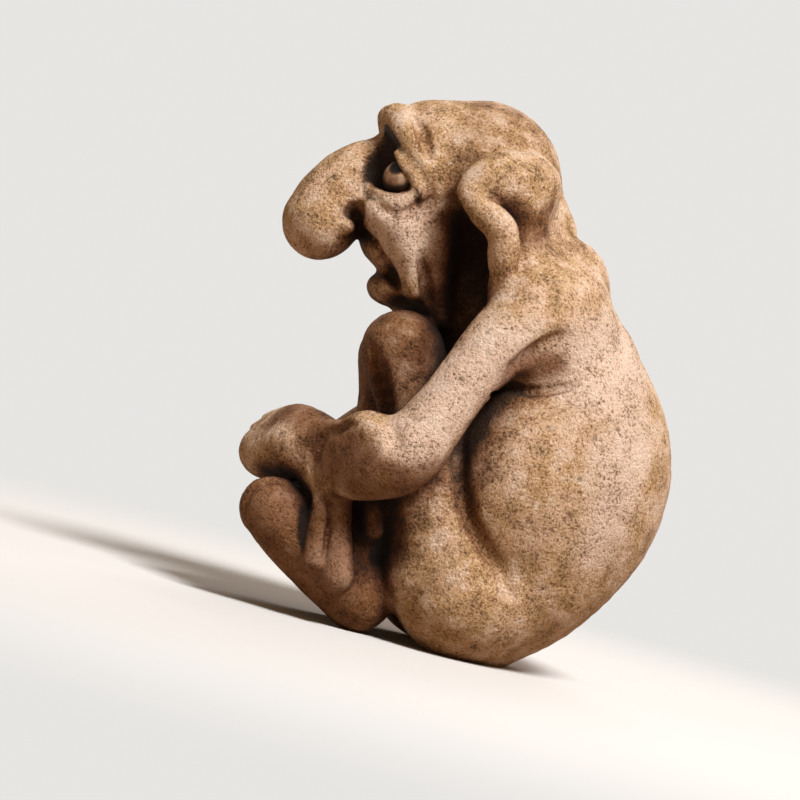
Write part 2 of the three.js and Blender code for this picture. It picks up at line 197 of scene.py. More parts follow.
node_boxes = np.array([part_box(node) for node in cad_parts]) / MM
grid_low = node_boxes[:, 0].min(0) - MARGIN
grid_high = node_boxes[:, 1].max(0) + MARGIN
FIGURE_TOP = node_boxes[:, 1, 2].max()
axes = [np.arange(low, high, PITCH, dtype=np.float32) for low, high in zip(grid_low, grid_high)]
grid_shape = tuple(len(axis) for axis in axes)
last_cell = np.array(grid_shape) - 1
X, Y, Z = np.meshgrid(*axes, indexing="ij", sparse=True)


def window(points, reach):
    """The slices of the block that hold the points with some reach round them."""
    points = np.atleast_2d(points)[:, :3]
    low = np.floor((points.min(0) - reach - grid_low) / PITCH).astype(int)
    high = np.ceil((points.max(0) + reach - grid_low) / PITCH).astype(int) + 1
    return tuple(slice(max(a, 0), min(b, n)) for a, b, n in zip(low, high, grid_shape))


def points_in(box):
    """The coordinates of a window, each along its own axis."""
    return X[box[0]], Y[:, box[1]], Z[:, :, box[2]]


def inside(part, box):
    """The slices of a window within a larger one."""
    return tuple(slice(p.start - b.start, p.stop - b.start) for p, b in zip(part, box))


print("block:", grid_shape, "samples,", PITCH, "mm apart")

# %% [markdown]
# ## Paths, round forms and eggs
# A limb is a ball rolled along a path while its radius changes, a barrel is the same with an oval section
# in the middle plane, and an egg is a ball with three sizes. Their distances are worked out only in a
# window round each form, because the whole block has millions of samples.

# %% Path
def through(points, steps=6):
    """A smooth curve through the points, and through the sizes that follow each point's coordinates.

    Between two points it is a cubic, whose slope at a point is half the way from the point before it to the
    point after it.
    """
    points = np.asarray(points, float)
    ends = np.vstack([2 * points[:1] - points[1:2], points, 2 * points[-1:] - points[-2:-1]])
    before, start, end, after = (part[:, None] for part in (ends[:-3], ends[1:-2], ends[2:-1], ends[3:]))
    t = np.linspace(0, 1, steps, endpoint=False)[None, :, None]
    curve = start + t / 2 * (
        end - before
        + t * (2 * before - 5 * start + 4 * end - after + t * (3 * start - before - 3 * end + after))
    )
    return np.vstack([curve.reshape(-1, points.shape[1]), points[-1:]])


print("path: 3 points become", len(through([(0, 0), (1, 1), (2, 0)])))

# %% Forms
REACH = 9
TINY = np.float32(1e-6)
LEAST_SLOPE = np.float32(1e-4)


def along(spots, a, d):
    """Where on the line from a along d each spot is nearest, as a share, and its squared distance there.

    The share is the dot product of the spot's offset and d over d's squared length, kept from 0 to 1.
    """
    line = d[:len(spots)]
    share = sum((p - start) * step for p, start, step in zip(spots, a, line))
    share = np.clip(share / max(line @ line, TINY), 0, 1)
    return share, sum((p - start - share * step) ** 2 for p, start, step in zip(spots, a, line))


def limb(points, reach=REACH, steps=6):
    """Distance to a round form, given by x, y, z and radius along a path: that to the path less radius."""
    path = through(points, steps).astype(np.float32)
    box = window(path, path[:, 3].max() + reach)
    nearest = np.full([s.stop - s.start for s in box], FAR, np.float32)
    for a, b in zip(path[:-1], path[1:]):
        part = window([a, b], max(a[3], b[3]) + reach)
        d = b - a
        share, off = along(points_in(part), a, d)
        index = inside(part, box)
        nearest[index] = np.minimum(nearest[index], np.sqrt(off) - a[3] - share * d[3])
    return box, nearest


def barrel(points, reach=REACH):
    """Distance to a form in the middle plane, with an oval section: x, z, half depth and half width.

    With k the offset measured in half sizes, the distance is about (k - 1) divided by the slope of k.
    """
    path = through(points).astype(np.float32)
    spots = np.column_stack([path[:, 0], 0 * path[:, 0], path[:, 1]])
    box = window(spots, path[:, 2:].max() + reach)
    x, y, z = points_in(box)
    nearest = np.float32(FAR)
    for a, b in zip(path[:-1], path[1:]):
        d = b - a
        share, deep = along((x, z), a, d)
        depth, width = (a[2] + share * d[2]) ** 2, (a[3] + share * d[3]) ** 2
        k = np.sqrt(deep / depth + y ** 2 / width)
        slope = np.sqrt(deep / depth ** 2 + y ** 2 / width ** 2) + LEAST_SLOPE
        nearest = np.minimum(nearest, (k - 1) * k / slope)
    return box, nearest


def egg(form, reach=REACH):
    """Distance to an egg, given by its centre and three half sizes, by the rule of the barrel's section."""
    centre, sizes = form[:3], form[3:]
    box = window(centre, max(sizes) + reach)
    offsets = [(p - c) / s for p, c, s in zip(points_in(box), centre, sizes)]
    k = np.sqrt(sum(offset ** 2 for offset in offsets))
    slope = np.sqrt(sum((offset / s) ** 2 for offset, s in zip(offsets, sizes))) + LEAST_SLOPE
    return box, ((k - 1) * k / slope).astype(np.float32)


def form_on(side, points):
    """A limb for several rows of points, or an egg for one row, brought to a side."""
    points = mirrored(side, points)
    return limb(points) if points.ndim > 1 else egg(points)


print("forms: limb, barrel and egg, each known to", REACH, "mm outside its surface")

# %% [markdown]
# ## Working the clay
# A sculptor adds clay, smooths the joint with a soft tool, and cuts with a loop or a wire. Boolean
# modifiers would do it without the smoothing. On distances, adding is a minimum, cutting is a maximum with
# the sign turned, and the smoothing is a width over which the two are blended.

# %% Clay
def smooth_min(a, b, width):
    """The lesser of two distances, with the corner between them rounded over a width."""
    mix = np.clip(0.5 + 0.5 * (b - a) / width, 0, 1)
    return b + (a - b) * mix - width * mix * (1 - mix)


def smooth_max(a, b, width):
    """The greater of two distances, rounded the same way."""
    return -smooth_min(-a, -b, width)


class Clay:
    """Forms added to each other and cut out of each other in the block of space."""

    def __init__(self, name):
        self.name = name
        self.field = np.full(grid_shape, FAR, np.float32)
        self.box = None

    def add(self, form, melt=1.0):
        """The smooth minimum of what is there and a form."""
        box, distance = form
        self.field[box] = smooth_min(self.field[box], distance, np.asarray(melt, np.float32))
        old = self.box or box
        self.box = tuple(slice(min(a.start, b.start), max(a.stop, b.stop)) for a, b in zip(old, box))

    def add_on(self, side, *forms):
        """Forms brought to a side and added, each with its melting width."""
        for points, melt in forms:
            self.add(form_on(side, points), melt)

    def carve(self, form, melt=1.0):
        """The smooth maximum of what is there and a form's distance with its sign turned."""
        box, distance = form
        self.field[box] = smooth_max(self.field[box], -distance, np.float32(melt))

    def flatten(self, point, facing, melt=1.0):
        """What lies beyond a plane is cut off: the plane's distance is the offset along its facing."""
        facing = np.array(facing) / np.linalg.norm(facing)
        beyond = sum((p - q) * f for p, q, f in zip(points_in(self.box), point, facing))
        self.field[self.box] = smooth_max(self.field[self.box], beyond.astype(np.float32), np.float32(melt))

    def volume(self):
        """Cubic centimetres: the samples inside times the space of one."""
        return round(float((self.field < 0).sum()) * (PITCH / MM_IN_CM) ** 3, 1)


print("clay: a corner of 1 mm and 1 mm melts to", round(smooth_min(1, 1, 2), 2), "mm over a width of 2 mm")

# %% [markdown]
# ## Creases, and the wash and painted shade in them
# A crease in the figure is a groove cut along a line on the surface, and the maker's brown wash lies in it,
# darkened nearly black as painted shade. Only two coordinates of the line are given, as one would draw it
# on a side view. The third is found by walking in from outside to where the clay begins. The wash with its
# painted shade, the brown painted shade with some grime and the pale painted light are fields of their own,
# and later colour the skin by how near it is to them, which paints soft edges that follow the form.

# %% Creases
LINE_REACH = 4
wash = Clay("wash")
grime = Clay("grime")
dust = Clay("dust")


def lay(clay, points, side, axis=1):
    """Points given by two coordinates and a radius, moved along an axis to where it first meets the clay.

    Side is 1 to come from the far end of the axis and -1 to come from its near end. The place between the
    last sample outside and the first one inside is where the distance falls to zero.
    """
    points = through(points)
    others = [i for i in range(3) if i != axis]
    index = np.rint((points[:, :2] - grid_low[others]) / PITCH).astype(int)
    columns = np.moveaxis(clay.field, axis, 2)[tuple(index.T)][:, ::-side]
    met = (columns < 0).any(1)
    points, columns = points[met], columns[met]
    first = (columns < 0).argmax(1)
    row = np.arange(len(points))
    outer, inner = columns[row, first - 1], columns[row, first]
    step = first - inner / (inner - outer)
    start = axes[axis][-1] if side > 0 else axes[axis][0]
    return np.insert(points, axis, start - side * step * PITCH, 1)


def crease(clay, points, side, melt=1.0, axis=1, dry=0.9):
    """A groove with wash and painted shade in it: the wash has the same path and is thinner than the groove
    by a dry rim.
    """
    path = lay(clay, points, side, axis)
    clay.carve(limb(path, LINE_REACH, 1), melt)
    path[:, 3] -= dry
    wash.add(limb(path, LINE_REACH, 1))


print("fields of colour:", wash.name, grime.name, dust.name)

# %% [markdown]
# ## The trunk
# Seat, belly, hunched back and neck are one barrel along a bent spine. A lathe can't bend, and a subdivided
# box needs many hand-placed points, so the spine gives x, z, depth and width at six heights. Eggs and
# limbs on it fill out the nape, the hump, the chest, the flanks, the shoulders and the sides of the neck.

# %% Trunk
SPINE = around(TORSO[SIDE_ON], [
    (-3.3, -40.5, 13, 21), (2.7, -25.5, 20, 28), (4.3, -7.5, 25.5, 30), (-1.1, 9.5, 20.2, 28),
    (-8.3, 25.5, 14, 21), (-18.3, 39.5, 11, 12.5),
])
NAPE = around(TORSO, (-14.3, 0, 41, 10.8, 13, 9))
HUMP = around(TORSO, (-6, 0, 29, 13, 18, 11.5))
CHEST = around(TORSO, [(-21.3, 0, 33.5, 8), (-18.3, 0, 21.5, 11), (-14.3, 0, 9.5, 12)])
FLANK = around(TORSO, (-3.3, 15.5, -10.5, 17.5, 16.5, 24))
SHOULDER_BLADE = around(TORSO, (4.1, 12.5, 14.5, 10.5, 9.5, 12))
COLLAR = around(TORSO, [(-4.3, 8, 33, 8), (-10.3, 15, 30.5, 6.8), (-14.3, 19, 28.1, 6.6)])
NECK_SIDE = around(TORSO, [(-20.8, 13, 41.5, 5.5), (-18.9, 16, 36.5, 6), (-16.3, 15.5, 27.5, 6)])

torso = Clay("torso")
torso.add(barrel(SPINE))
torso.add(egg(NAPE), melt=2)
torso.add(egg(HUMP), melt=2)
torso.add(limb(CHEST), melt=3)
for side in SIDES.values():
    torso.add_on(side, (FLANK, 3), (SHOULDER_BLADE, 3), (COLLAR, 3), (NECK_SIDE, 5))
print("trunk:", torso.volume(), "cubic cm")

# %% [markdown]
# ## The head
# The skull is an egg with a second one for the forehead. The nose is a barrel that droops and swells
# towards its tip, and the jaw is one that narrows downwards. The upper lip bulges behind the nose, and the
# lower lip pouts. A sculpting brush could raise all this from a ball, but a form with a few sizes can be
# placed and changed by number.

# %% Skull, nose and jaw
SKULL = around(HEAD, (10.8, 0, 8, 17.4, 17, 17.4))
FOREHEAD = around(HEAD, (-1.5, 0, 11.1, 11, 12.5, 11.2))
JAW = around(HEAD[SIDE_ON], [
    (0, 7.4, 9.5, 13), (0.5, -3.6, 10, 13.5), (3.5, -12.6, 9, 10), (5, -18.6, 7, 8),
])
NOSE = around(HEAD[SIDE_ON], [
    (-7, 5.9, 7, 5.2), (-14, 2.7, 7.3, 6.2), (-18.5, -3.3, 7.7, 7.6), (-20.2, -9, 8.2, 8.4),
])
UPPER_LIP = around(HEAD, (-4, 0, -9.6, 7, 9.5, 5.6))
LOWER_LIP = around(HEAD, (-2.2, 0, -19, 4.9, 8.5, 3.6))

head = Clay("head")
head.add(egg(SKULL), melt=3)
head.add(egg(FOREHEAD), melt=4)
head.add(barrel(JAW), melt=3)
head.add(barrel(NOSE), melt=3)
head.add(egg(UPPER_LIP), melt=2.5)
head.add(egg(LOWER_LIP), melt=1.5)
print("head:", head.volume(), "cubic cm")

# %% [markdown]
# ## Cheeks and folds
# A sagging cheek runs from beside the nose down to a jowl at the corner of the mouth. Two creases set it
# off, one from the nostril along its front edge and one behind the jowl. They could be bump in the
# material, but a crease this deep shades and shadows, so it is cut.

# %% Cheeks, nostrils and folds
CHEEK = around(HEAD, [
    (-9.5, 7.8, -4, 4.4), (-5.5, 9.8, -5.1, 5.4), (-2.5, 10.8, -9.1, 4.6), (-0.2, 11.2, -13.6, 3.2),
    (1.6, 11, -18, 2.6),
])
JAW_FOLD = around(HEAD, [(4.6, 10.6, -5.6, 5), (7, 9.8, -14.6, 3.8), (8.5, 8.5, -22.1, 2.8)])
# Painted shadow of the ear on the back of the jaw and the cheek.
JAW_SHADOW = around(HEAD, [(4.5, 15, -2.6, 1), (6, 15, -6.6, 3), (7, 14, -12.6, 3), (8, 13, -17.6, 1.5)])
NOSTRIL = around(HEAD, (-14.6, 8.3, -6.4, 2.3, 3, 3))
NOSTRIL_WING = around(HEAD, (-15.6, 6.6, -8.8, 2.2, 1.8, 1.7))
NOSE_FOLD = around(HEAD[SIDE_ON], [
    (-14.1, -6.1, 0.8), (-10.2, -9.7, 1.1), (-7, -12.3, 1.3), (-4, -15.2, 1.3), (-1.8, -18.2, 0.9),
])
JOWL_CREASE = around(HEAD[SIDE_ON], [
    (0, -10.4, 0.2), (0.7, -12, 0.8), (2.4, -15, 1.3), (3.8, -17.7, 1.4), (4.8, -19.8, 0.8),
])

for side in SIDES.values():
    head.add_on(side, (CHEEK, 3.5), (JAW_FOLD, 4))
    head.carve(form_on(side, NOSTRIL))
    head.add_on(side, (NOSTRIL_WING, 1.2))
    crease(head, NOSE_FOLD, side)
    crease(head, JOWL_CREASE, side)
    grime.add(form_on(side, JAW_SHADOW))
print("cheeks: head is now", head.volume(), "cubic cm")

# %% [markdown]
# ## Brows, sockets and lids
# The look of the face is in its brows: each rises to a peak over the nose and slopes down outside the eye,
# with a worry line behind it. Under it the socket is cut deep and washed nearly black, which is painted
# shade.
# The lids are thin limbs laid over the eye's bead, and the painted shade is taken off them. A soft fold lies
# under the lower lid, and a small crease at the eye's outer corner. A painted line could stand for a lid,
# but it would cast no shadow on the eye.

# %% Brows, sockets and lids
LID_CLEAR_RIM = 1
BROW = around(HEAD, [
    (-10.7, 4, 16.3, 3), (-8.8, 8, 13.9, 3.1), (-6.5, 10.6, 11.2, 2.8), (-4, 12.2, 8.4, 2.6),
    (-1.4, 13, 5.8, 2.3), (1.2, 13.4, 3.4, 1.8),
])
SOCKET = around(HEAD, [
    (-12.2, 6.2, 11.6, 2.2), (-11.8, 8.4, 8.4, 3.9), (-11, 9.4, 4.4, 4.7), (-10.6, 9.4, 1.8, 4.2),
])
WORRY_LINE = around(HEAD[SIDE_ON], [
    (-8.4, 17.4, 0.6), (-6.2, 15, 1.5), (-5, 13, 1.7), (-3.7, 10.4, 1.4), (-2.8, 8.4, 0.5),
])
UPPER_LID = around(HEAD, [
    (-9.6, 10.8, 8.3, 0.6), (-8.4, 11.7, 7.1, 0.9), (-7.2, 12.3, 6.1, 1.1), (-6, 12.8, 5.1, 1.2),
    (-4.8, 13.3, 4, 1.2), (-3.6, 13.8, 2.6, 1.1), (-2.6, 14.2, 1.4, 0.8),
])
LOWER_LID = around(HEAD, [
    (-12.4, 6.6, 0.2, 0.8), (-10.8, 9.4, -0.7, 1.2), (-8.6, 11.7, -1.5, 1.5), (-6.8, 12.8, -1.6, 1.5),
    (-5.2, 13.4, -0.7, 1.4), (-3.8, 13.9, 0.6, 1),
])
LID_FOLD = around(HEAD, [
    (-10.4, 12.6, -3.4, 0.2), (-9.2, 13.6, -4, 0.7), (-6.5, 14.8, -4.2, 0.9), (-4.2, 14.7, -2.8, 0.7),
    (-2.8, 14.5, -1.2, 0.3),
])
EYE_CORNER = around(HEAD[SIDE_ON], [
    (-4.4, 1.7, 0.3), (-3.6, 0.8, 0.6), (-2.9, -0.3, 0.5), (-2.6, -1, 0.2),
])

for side in SIDES.values():
    socket = form_on(side, SOCKET)
    head.carve(socket, melt=1.2)
    # The socket's wash is painted shade, nearly black under the brow.
    wash.add(socket)
    head.add_on(side, (BROW, 2.5))
    crease(head, WORRY_LINE, side, melt=0.8, dry=1.3)
    for line in (UPPER_LID, LOWER_LID):
        lid = mirrored(side, line)
        head.add(limb(lid), melt=1.8)
        lid[:, 3] += LID_CLEAR_RIM
        wash.carve(limb(lid), melt=0.5)
    head.carve(form_on(side, LID_FOLD), melt=1.5)
    crease(head, EYE_CORNER, side, melt=0.8, dry=0.3)
print("sockets: head is now", head.volume(), "cubic cm")

# %% [markdown]
# ## Legs and feet
# The knees are drawn up under the chin, so each leg is two limbs that meet at the knee: the thigh rises
# from the hip and the shin goes down to the heel. The feet point up and forwards. The left leg stands a
# little further out, and its shin has a long hollow beside the bone. One bent limb would pinch at the knee.

# %% Legs and feet
LEG = {word: beside(word, "leg") for word in SIDES}
FOOT_PLACE = {word: beside(word, "foot") for word in SIDES}
THIGH = {
    "left": around(LEG["left"], [
        (10.3, -0.7, -19.8, 14.2), (1.2, -0.4, -3.8, 11), (-6, -2.2, 12.2, 8.9), (-13.7, -5.2, 25.4, 8.4),
    ]),
    "right": around(LEG["right"], [
        (10.3, -0.7, -19.8, 14.2), (1.2, -0.4, -3.8, 11), (-5.2, -2.2, 12.2, 8.9),
        (-11.2, -5.2, 24.4, 8.4),
    ]),
}
SHIN = {
    "left": around(LEG["left"], [
        (-13.7, -5.2, 25.4, 8.2), (-8.2, -4.3, 13.7, 6), (-9.7, -4.3, 2.2, 6), (-12.2, -3.7, -15.8, 5.4),
    ]),
    "right": around(LEG["right"], [
        (-11.2, -5.2, 24.4, 8.2), (-11.2, -5.2, 13.2, 6.2), (-11.2, -4.3, 2.2, 6.2),
        (-12.2, -3.7, -15.8, 5.4),
    ]),
}
FOOT = {
    "left": around(FOOT_PLACE["left"], [
        (9.7, -0.4, -4.9, 7.6), (-0.2, 0.1, 0.6, 7.5), (-7.7, 0.1, 5.2, 7.3), (-12.7, 0.1, 8.4, 6.8),
    ]),
    "right": around(FOOT_PLACE["right"], [
        (9.1, -0.2, -4.1, 7.6), (0.2, 0.3, 1.1, 7.5), (-6.3, 0.3, 5, 7.3), (-10.7, 0.3, 7.8, 6.8),
    ]),
}
HAM = around(LEG["right"], (1.3, 0.3, -19.3, 7.8, 8, 7.8))
SHIN_HOLLOW = around(LEG["left"][SIDE_ON], [
    (-20.8, 24.6, 0.3), (-20.2, 23.2, 1), (-19, 21.1, 1.6), (-17.5, 18.2, 2), (-15.5, 14, 2.2),
    (-13.7, 9.2, 1.6),
])

limbs = {}


def new_limb(word, kind, *forms):
    """A part of one side, made of forms with their melting widths, and kept in limbs by its name."""
    name = word + "_" + kind
    limbs[name] = Clay(name)
    limbs[name].add_on(SIDES[word], *forms)


for word in SIDES:
    new_limb(word, "leg", (THIGH[word], 1), (SHIN[word], 2), (HAM, 3))
    new_limb(word, "foot", (FOOT[word], 1))
crease(limbs["left_leg"], SHIN_HOLLOW, LEFT, melt=1.5)
print("legs:", {name: clay.volume() for name, clay in limbs.items()}, "cubic cm")

# %% [markdown]
# ## Arms
# An arm is one limb from the shoulder past the elbow to the wrist. The left forearm crosses in front of the
# shins and its underside is flat and turned away from the light, so a plane cuts it there. Blender's own
# skin modifier makes such limbs too, but it gives no distances to melt with.

# %% Arms
ARM = {word: beside(word, "arm") for word in SIDES}
UPPER_ARM = around(TORSO, [
    (-5.3, 14.5, 24.5, 11), (-10.6, 20.5, 22.5, 9.5), (-17.8, 24.5, 15, 7.4), (-23.3, 26.5, 5.3, 6.1),
    (-27.8, 27.5, -5, 6.6), (-31.9, 27, -11.8, 8),
])
FOREARM = {
    "left": around(ARM["left"], [(-14.7, 2.7, -20.3, 8.3), (-21.6, -5.8, -21.7, 7.6)]),
    "right": around(ARM["right"], [(-15.2, 2.6, -21.2, 7.4), (-21.7, -7.4, -24.7, 6)]),
}
ELBOW_BONE = around(ARM["left"], (-15.3, 3.2, -15.1, 5.4, 5.4, 5))
FOREARM_FLAT = around(ARM["left"], (-14.8, 12, -21.2))
FLAT_FACING = (-0.8, 0.55, -0.1)

for word in SIDES:
    new_limb(word, "arm", (np.vstack([UPPER_ARM, FOREARM[word]]), 1))
limbs["left_arm"].add_on(LEFT, (ELBOW_BONE, 2.5))
limbs["left_arm"].flatten(mirrored(LEFT, FOREARM_FLAT), mirrored(LEFT, FLAT_FACING), melt=3)
print("arms:", limbs["left_arm"].volume(), limbs["right_arm"].volume(), "cubic cm")

# %% [markdown]
# ## Hands
# The left hand is a loose fist in front of the shins. The right one passes behind it, and its fingers hang
# beside the left foot. Each palm is a limb, with a limb for each finger. The fist gets an egg for its
# knuckles and a plane across its back. A mitten with grooves would do for a closed hand, but these fingers
# hang apart.

# %% Hands
HAND = {word: beside(word, "hand") for word in SIDES}
PALM = {
    "left": around(HAND["left"], [(2.4, 14.2, 9.1, 6.8), (-3.4, 8.3, 9.1, 8.2), (-5.9, -2.2, 7.5, 7.4)]),
    "right": around(HAND["right"], [(-3.9, 17.8, 8.1, 6), (-4.9, 5.8, 6.6, 5.6), (-2.4, -8.7, 7.1, 5)]),
}
FINGERS = {
    "left": [
        around(HAND["left"], [(-5.4, -6.2, 8.1, 3), (-1.4, -15.2, 3.1, 2.6), (2.1, -18.6, -11.9, 2.8)]),
        around(HAND["left"], [(-3.4, -6.2, 4.1, 3), (2.1, -16.2, 2.1, 2.5), (6.1, -18.6, -14.4, 2.9)]),
        around(HAND["left"], [(-0.4, -6.2, 3.1, 3), (5.6, -16.2, 2.1, 2.5), (10.6, -18.6, -12.4, 2.8)]),
    ],
    "right": [
        around(HAND["right"], [
            (-4.1, -8.2, 7.6, 2.5), (-3.6, -14.7, 4.1, 2.4), (-3.1, -16.2, -2.4, 2.4),
            (-2.5, -16.8, -8.6, 2.5),
        ]),
        around(HAND["right"], [
            (-1.5, -8.2, 7.6, 2.6), (-0.3, -15.2, 5.1, 2.4), (1.3, -16.4, -3.2, 2.9),
            (2.9, -16.8, -10.4, 3.7),
        ]),
        around(HAND["right"], [(3.1, -8.2, 7.6, 2.5), (6.5, -13.7, 5.6, 2.3), (8.1, -14.2, 0.4, 2.3)]),
    ],
}
KNUCKLES = around(HAND["left"], (-8.4, 1.8, 4.9, 5.4, 8.5, 4.8))
FIST_FLAT = around(HAND["left"], (-11, 5.8, 10.3))
FIST_FACING = (-0.84, 0.12, 0.54)

for word in SIDES:
    new_limb(word, "hand", (PALM[word], 1))
limbs["left_hand"].add_on(LEFT, (KNUCKLES, 2.5))
limbs["left_hand"].flatten(mirrored(LEFT, FIST_FLAT), mirrored(LEFT, FIST_FACING), melt=1.5)
for word, side in SIDES.items():
    limbs[word + "_hand"].add_on(side, *((finger, 0.8) for finger in FINGERS[word]))
print("hands:", limbs["left_hand"].volume(), limbs["right_hand"].volume(), "cubic cm")

# %% [markdown]
# ## Ears
# Each ear is a thick flap that folds over at its front and hangs down as a rim, with a hollow behind. A
# flat sheet with thickness would look like cut leather. Three limbs melted together keep it as soft as the
# rest.

# %% Ears
EAR_FLAP = around(EAR, [
    (5.9, -6.5, 9.9, 5.2), (2.8, -4, 9, 7), (-2.1, -2.2, 7.7, 6.6), (-6.4, -0.5, 5.9, 4.4),
    (-8.2, 0.2, 4.7, 2.8),
])
EAR_PLATE = around(EAR, [(0.4, -3.5, 7.5, 6.6), (2.6, -2.6, 4.1, 6), (4.6, -3, 1.1, 4.8)])
EAR_RIM = around(EAR, [
    (-8.5, 1, 3.7, 2.5), (-5.1, 3.4, 0.7, 3.1), (-1.8, 5, -1.1, 3.4), (0.2, 5.4, -3.5, 3.4),
    (1, 5, -6.5, 3.3), (2, 4, -9.5, 3), (3.6, 2.8, -12.9, 2.6),
])

for word in SIDES:
    new_limb(word, "ear", (EAR_FLAP, 1), (EAR_PLATE, 2), (EAR_RIM, 1.2))
print("ears:", limbs["left_ear"].volume(), limbs["right_ear"].volume(), "cubic cm")

# %% [markdown]
# ## Where painted shade and painted light lie
# The stone is painted darker and browner where shade falls: on the knees, the feet and the fist, under the
# forearms and round the hanging fingers. It is darker on top of the head as well. It is painted pale where
# the light falls most: on the cheek, the upper arm, the shoulder and the flank. A brush would paint this on
# a texture. Here each patch is a form in a field of its own, and the skin takes its share by distance.

# %% Grime and dust
FINGER_PLACE = FOOT_PLACE["left"]
# Painted shade: brown patches where shade falls on the knees, feet, fist and forearms and round the hanging
# fingers, and a darker top of the head.
SKULL_DARKENING = around(HEAD, (10.8, 0, 8, 14.2, 13.8, 14.2))
FIST_SHADOW = around(HAND["left"], [
    (-9.4, 8.8, 12.6, 1), (-6.9, 9.3, 15.1, 2), (-2.6, 14.8, 15.1, 2.5), (0.6, 20.3, 15.1, 1.5),
])
KNEE_SHADOW = around(LEG["right"], (-13.2, -5.2, 24.2, 8, 8, 9))
ARM_SHADE = around(ARM["right"], [
    (-2.7, 8.6, -18.2, 2.5), (-7.7, 10.6, -22.2, 3), (-14.7, 9.6, -22.2, 4), (-20.7, 5.6, -19.2, 4.5),
    (-25.7, -2.4, -17.2, 2),
])
FINGER_SHADOW = around(FINGER_PLACE, (2.3, 7.6, 5.6, 7, 5, 9))
HEEL_SHADE = around(FINGER_PLACE, (8.8, 5.6, 7.6, 4, 4, 9))
# Wash as painted shade in the gaps between the hanging fingers and the foot.
FINGER_SHADE = around(FINGER_PLACE, [(9.8, 3.1, 13.6, 2), (10.8, 3.1, 4.6, 2)])
FINGER_EDGE = around(FINGER_PLACE, [
    (-6.2, 6.1, 11.6, 1), (-6.1, 6.9, 7.6, 1), (-5.6, 7.4, 4.6, 0.8), (-4.4, 8, 1.6, 0.3),
])
# Painted light: pale patches where the light falls most, on the cheek, upper arm, shoulder, flank and a
# hanging finger.
FINGER_LIGHT = around(FINGER_PLACE, (1.5, 10.8, -0.4, 2.5, 2, 3.5))
CHEEK_LIGHT = around(HEAD, (-5, 13, -7.6, 5, 3, 5))
ARM_LIGHT = around(TORSO, [(-19.3, 31, 12.5, 4), (-25.3, 33, 1.5, 4), (-29.3, 35, -7.5, 4)])
SHOULDER_LIGHT = around(TORSO, (3.7, 21, 15.5, 9, 9, 8))
FLANK_LIGHT = around(TORSO, [
    (12.7, 23.5, 4.5, 3), (10.7, 25, -4.5, 3), (11.7, 24.5, -12.5, 3), (10.7, 24, -19.5, 2),
])

for word, side in SIDES.items():
    patches = {
        grime: (KNEE_SHADOW, FINGER_SHADOW, HEEL_SHADE, FOOT[word], ARM_SHADE),
        wash: (FINGER_SHADE, FINGER_EDGE),
        dust: (CHEEK_LIGHT, SHOULDER_LIGHT, FINGER_LIGHT, ARM_LIGHT, FLANK_LIGHT),
    }
    for colour_field, forms in patches.items():
        for points in forms:
            colour_field.add(form_on(side, points))
grime.add(egg(SKULL_DARKENING))
grime.add(form_on(LEFT, FIST_SHADOW))
print("patches in cubic cm: grime", grime.volume(), "dust", dust.volume(), "wash", wash.volume())

# %% [markdown]
# ## Joining the parts
# The real figure's joints are filled and smoothed, most where an arm or a thigh grows out of the trunk and
# least where a hand only lies on a shin. So the melting width isn't one number: it is greatest at the joint
# and falls off away from it. A second field keeps which part is nearest at each sample, for the pieces that
# come later.

# %% Join
KINDS = ("leg", "foot", "arm", "hand", "ear")
EVEN_MELT = {"torso": 1, "head": 4, "hand": 1.5, "foot": 2}
JOINT = {
    "arm": around(TORSO, (-4.3, 22, 21.5)),
    "ear": around(HEAD, (25, 15, 6.9)),
    "leg": around(TORSO, (-0.3, 22, -42.5)),
}
JOINT_SIZE = {"arm": 14, "ear": 7, "leg": 14}
JOINT_MELT = {"arm": (1, 9), "ear": (1.2, 6), "leg": (0.8, 8)}


def soft_near(box, centre, size, least, most):
    """A melting width, greatest at a point, that falls off as the bell curve of distance over size."""
    off = sum((p - c) ** 2 for p, c in zip(points_in(box), centre))
    return (least + (most - least) * np.exp(-off / size ** 2)).astype(np.float32)


pieces = [torso, head] + [limbs[word + "_" + kind] for word in SIDES for kind in KINDS]
figure = Clay("figure")
nearest = np.full(grid_shape, FAR, np.float32)
owner = np.zeros(grid_shape, np.uint8)
for number, clay in enumerate(pieces, 1):
    word, kind = ("_" + clay.name).split("_")[-2:]
    if kind in JOINT:
        joint = mirrored(SIDES[word], JOINT[kind])
        melt = soft_near(clay.box, joint, JOINT_SIZE[kind], *JOINT_MELT[kind])
    else:
        melt = EVEN_MELT[kind]
    part = clay.field[clay.box]
    owner[clay.box][part < nearest[clay.box]] = number
    nearest[clay.box] = np.minimum(nearest[clay.box], part)
    figure.add((clay.box, part), melt)
print("figure:", figure.volume(), "cubic cm of", len(pieces), "pieces")

# %% [markdown]
# ## Creases of the joined figure
# Some hollows belong to two parts at once, so they are cut after the joining: the two folds at the armpit,
# the long line between flank and thigh, the hollow of the throat, the gap between the knees and the furrow
# down the back. A crease in each part alone would be filled again by the melting. Painted shade lies in the
# armpit and behind the ear's rim, and the wash in the throat and between the knees is painted shade too.

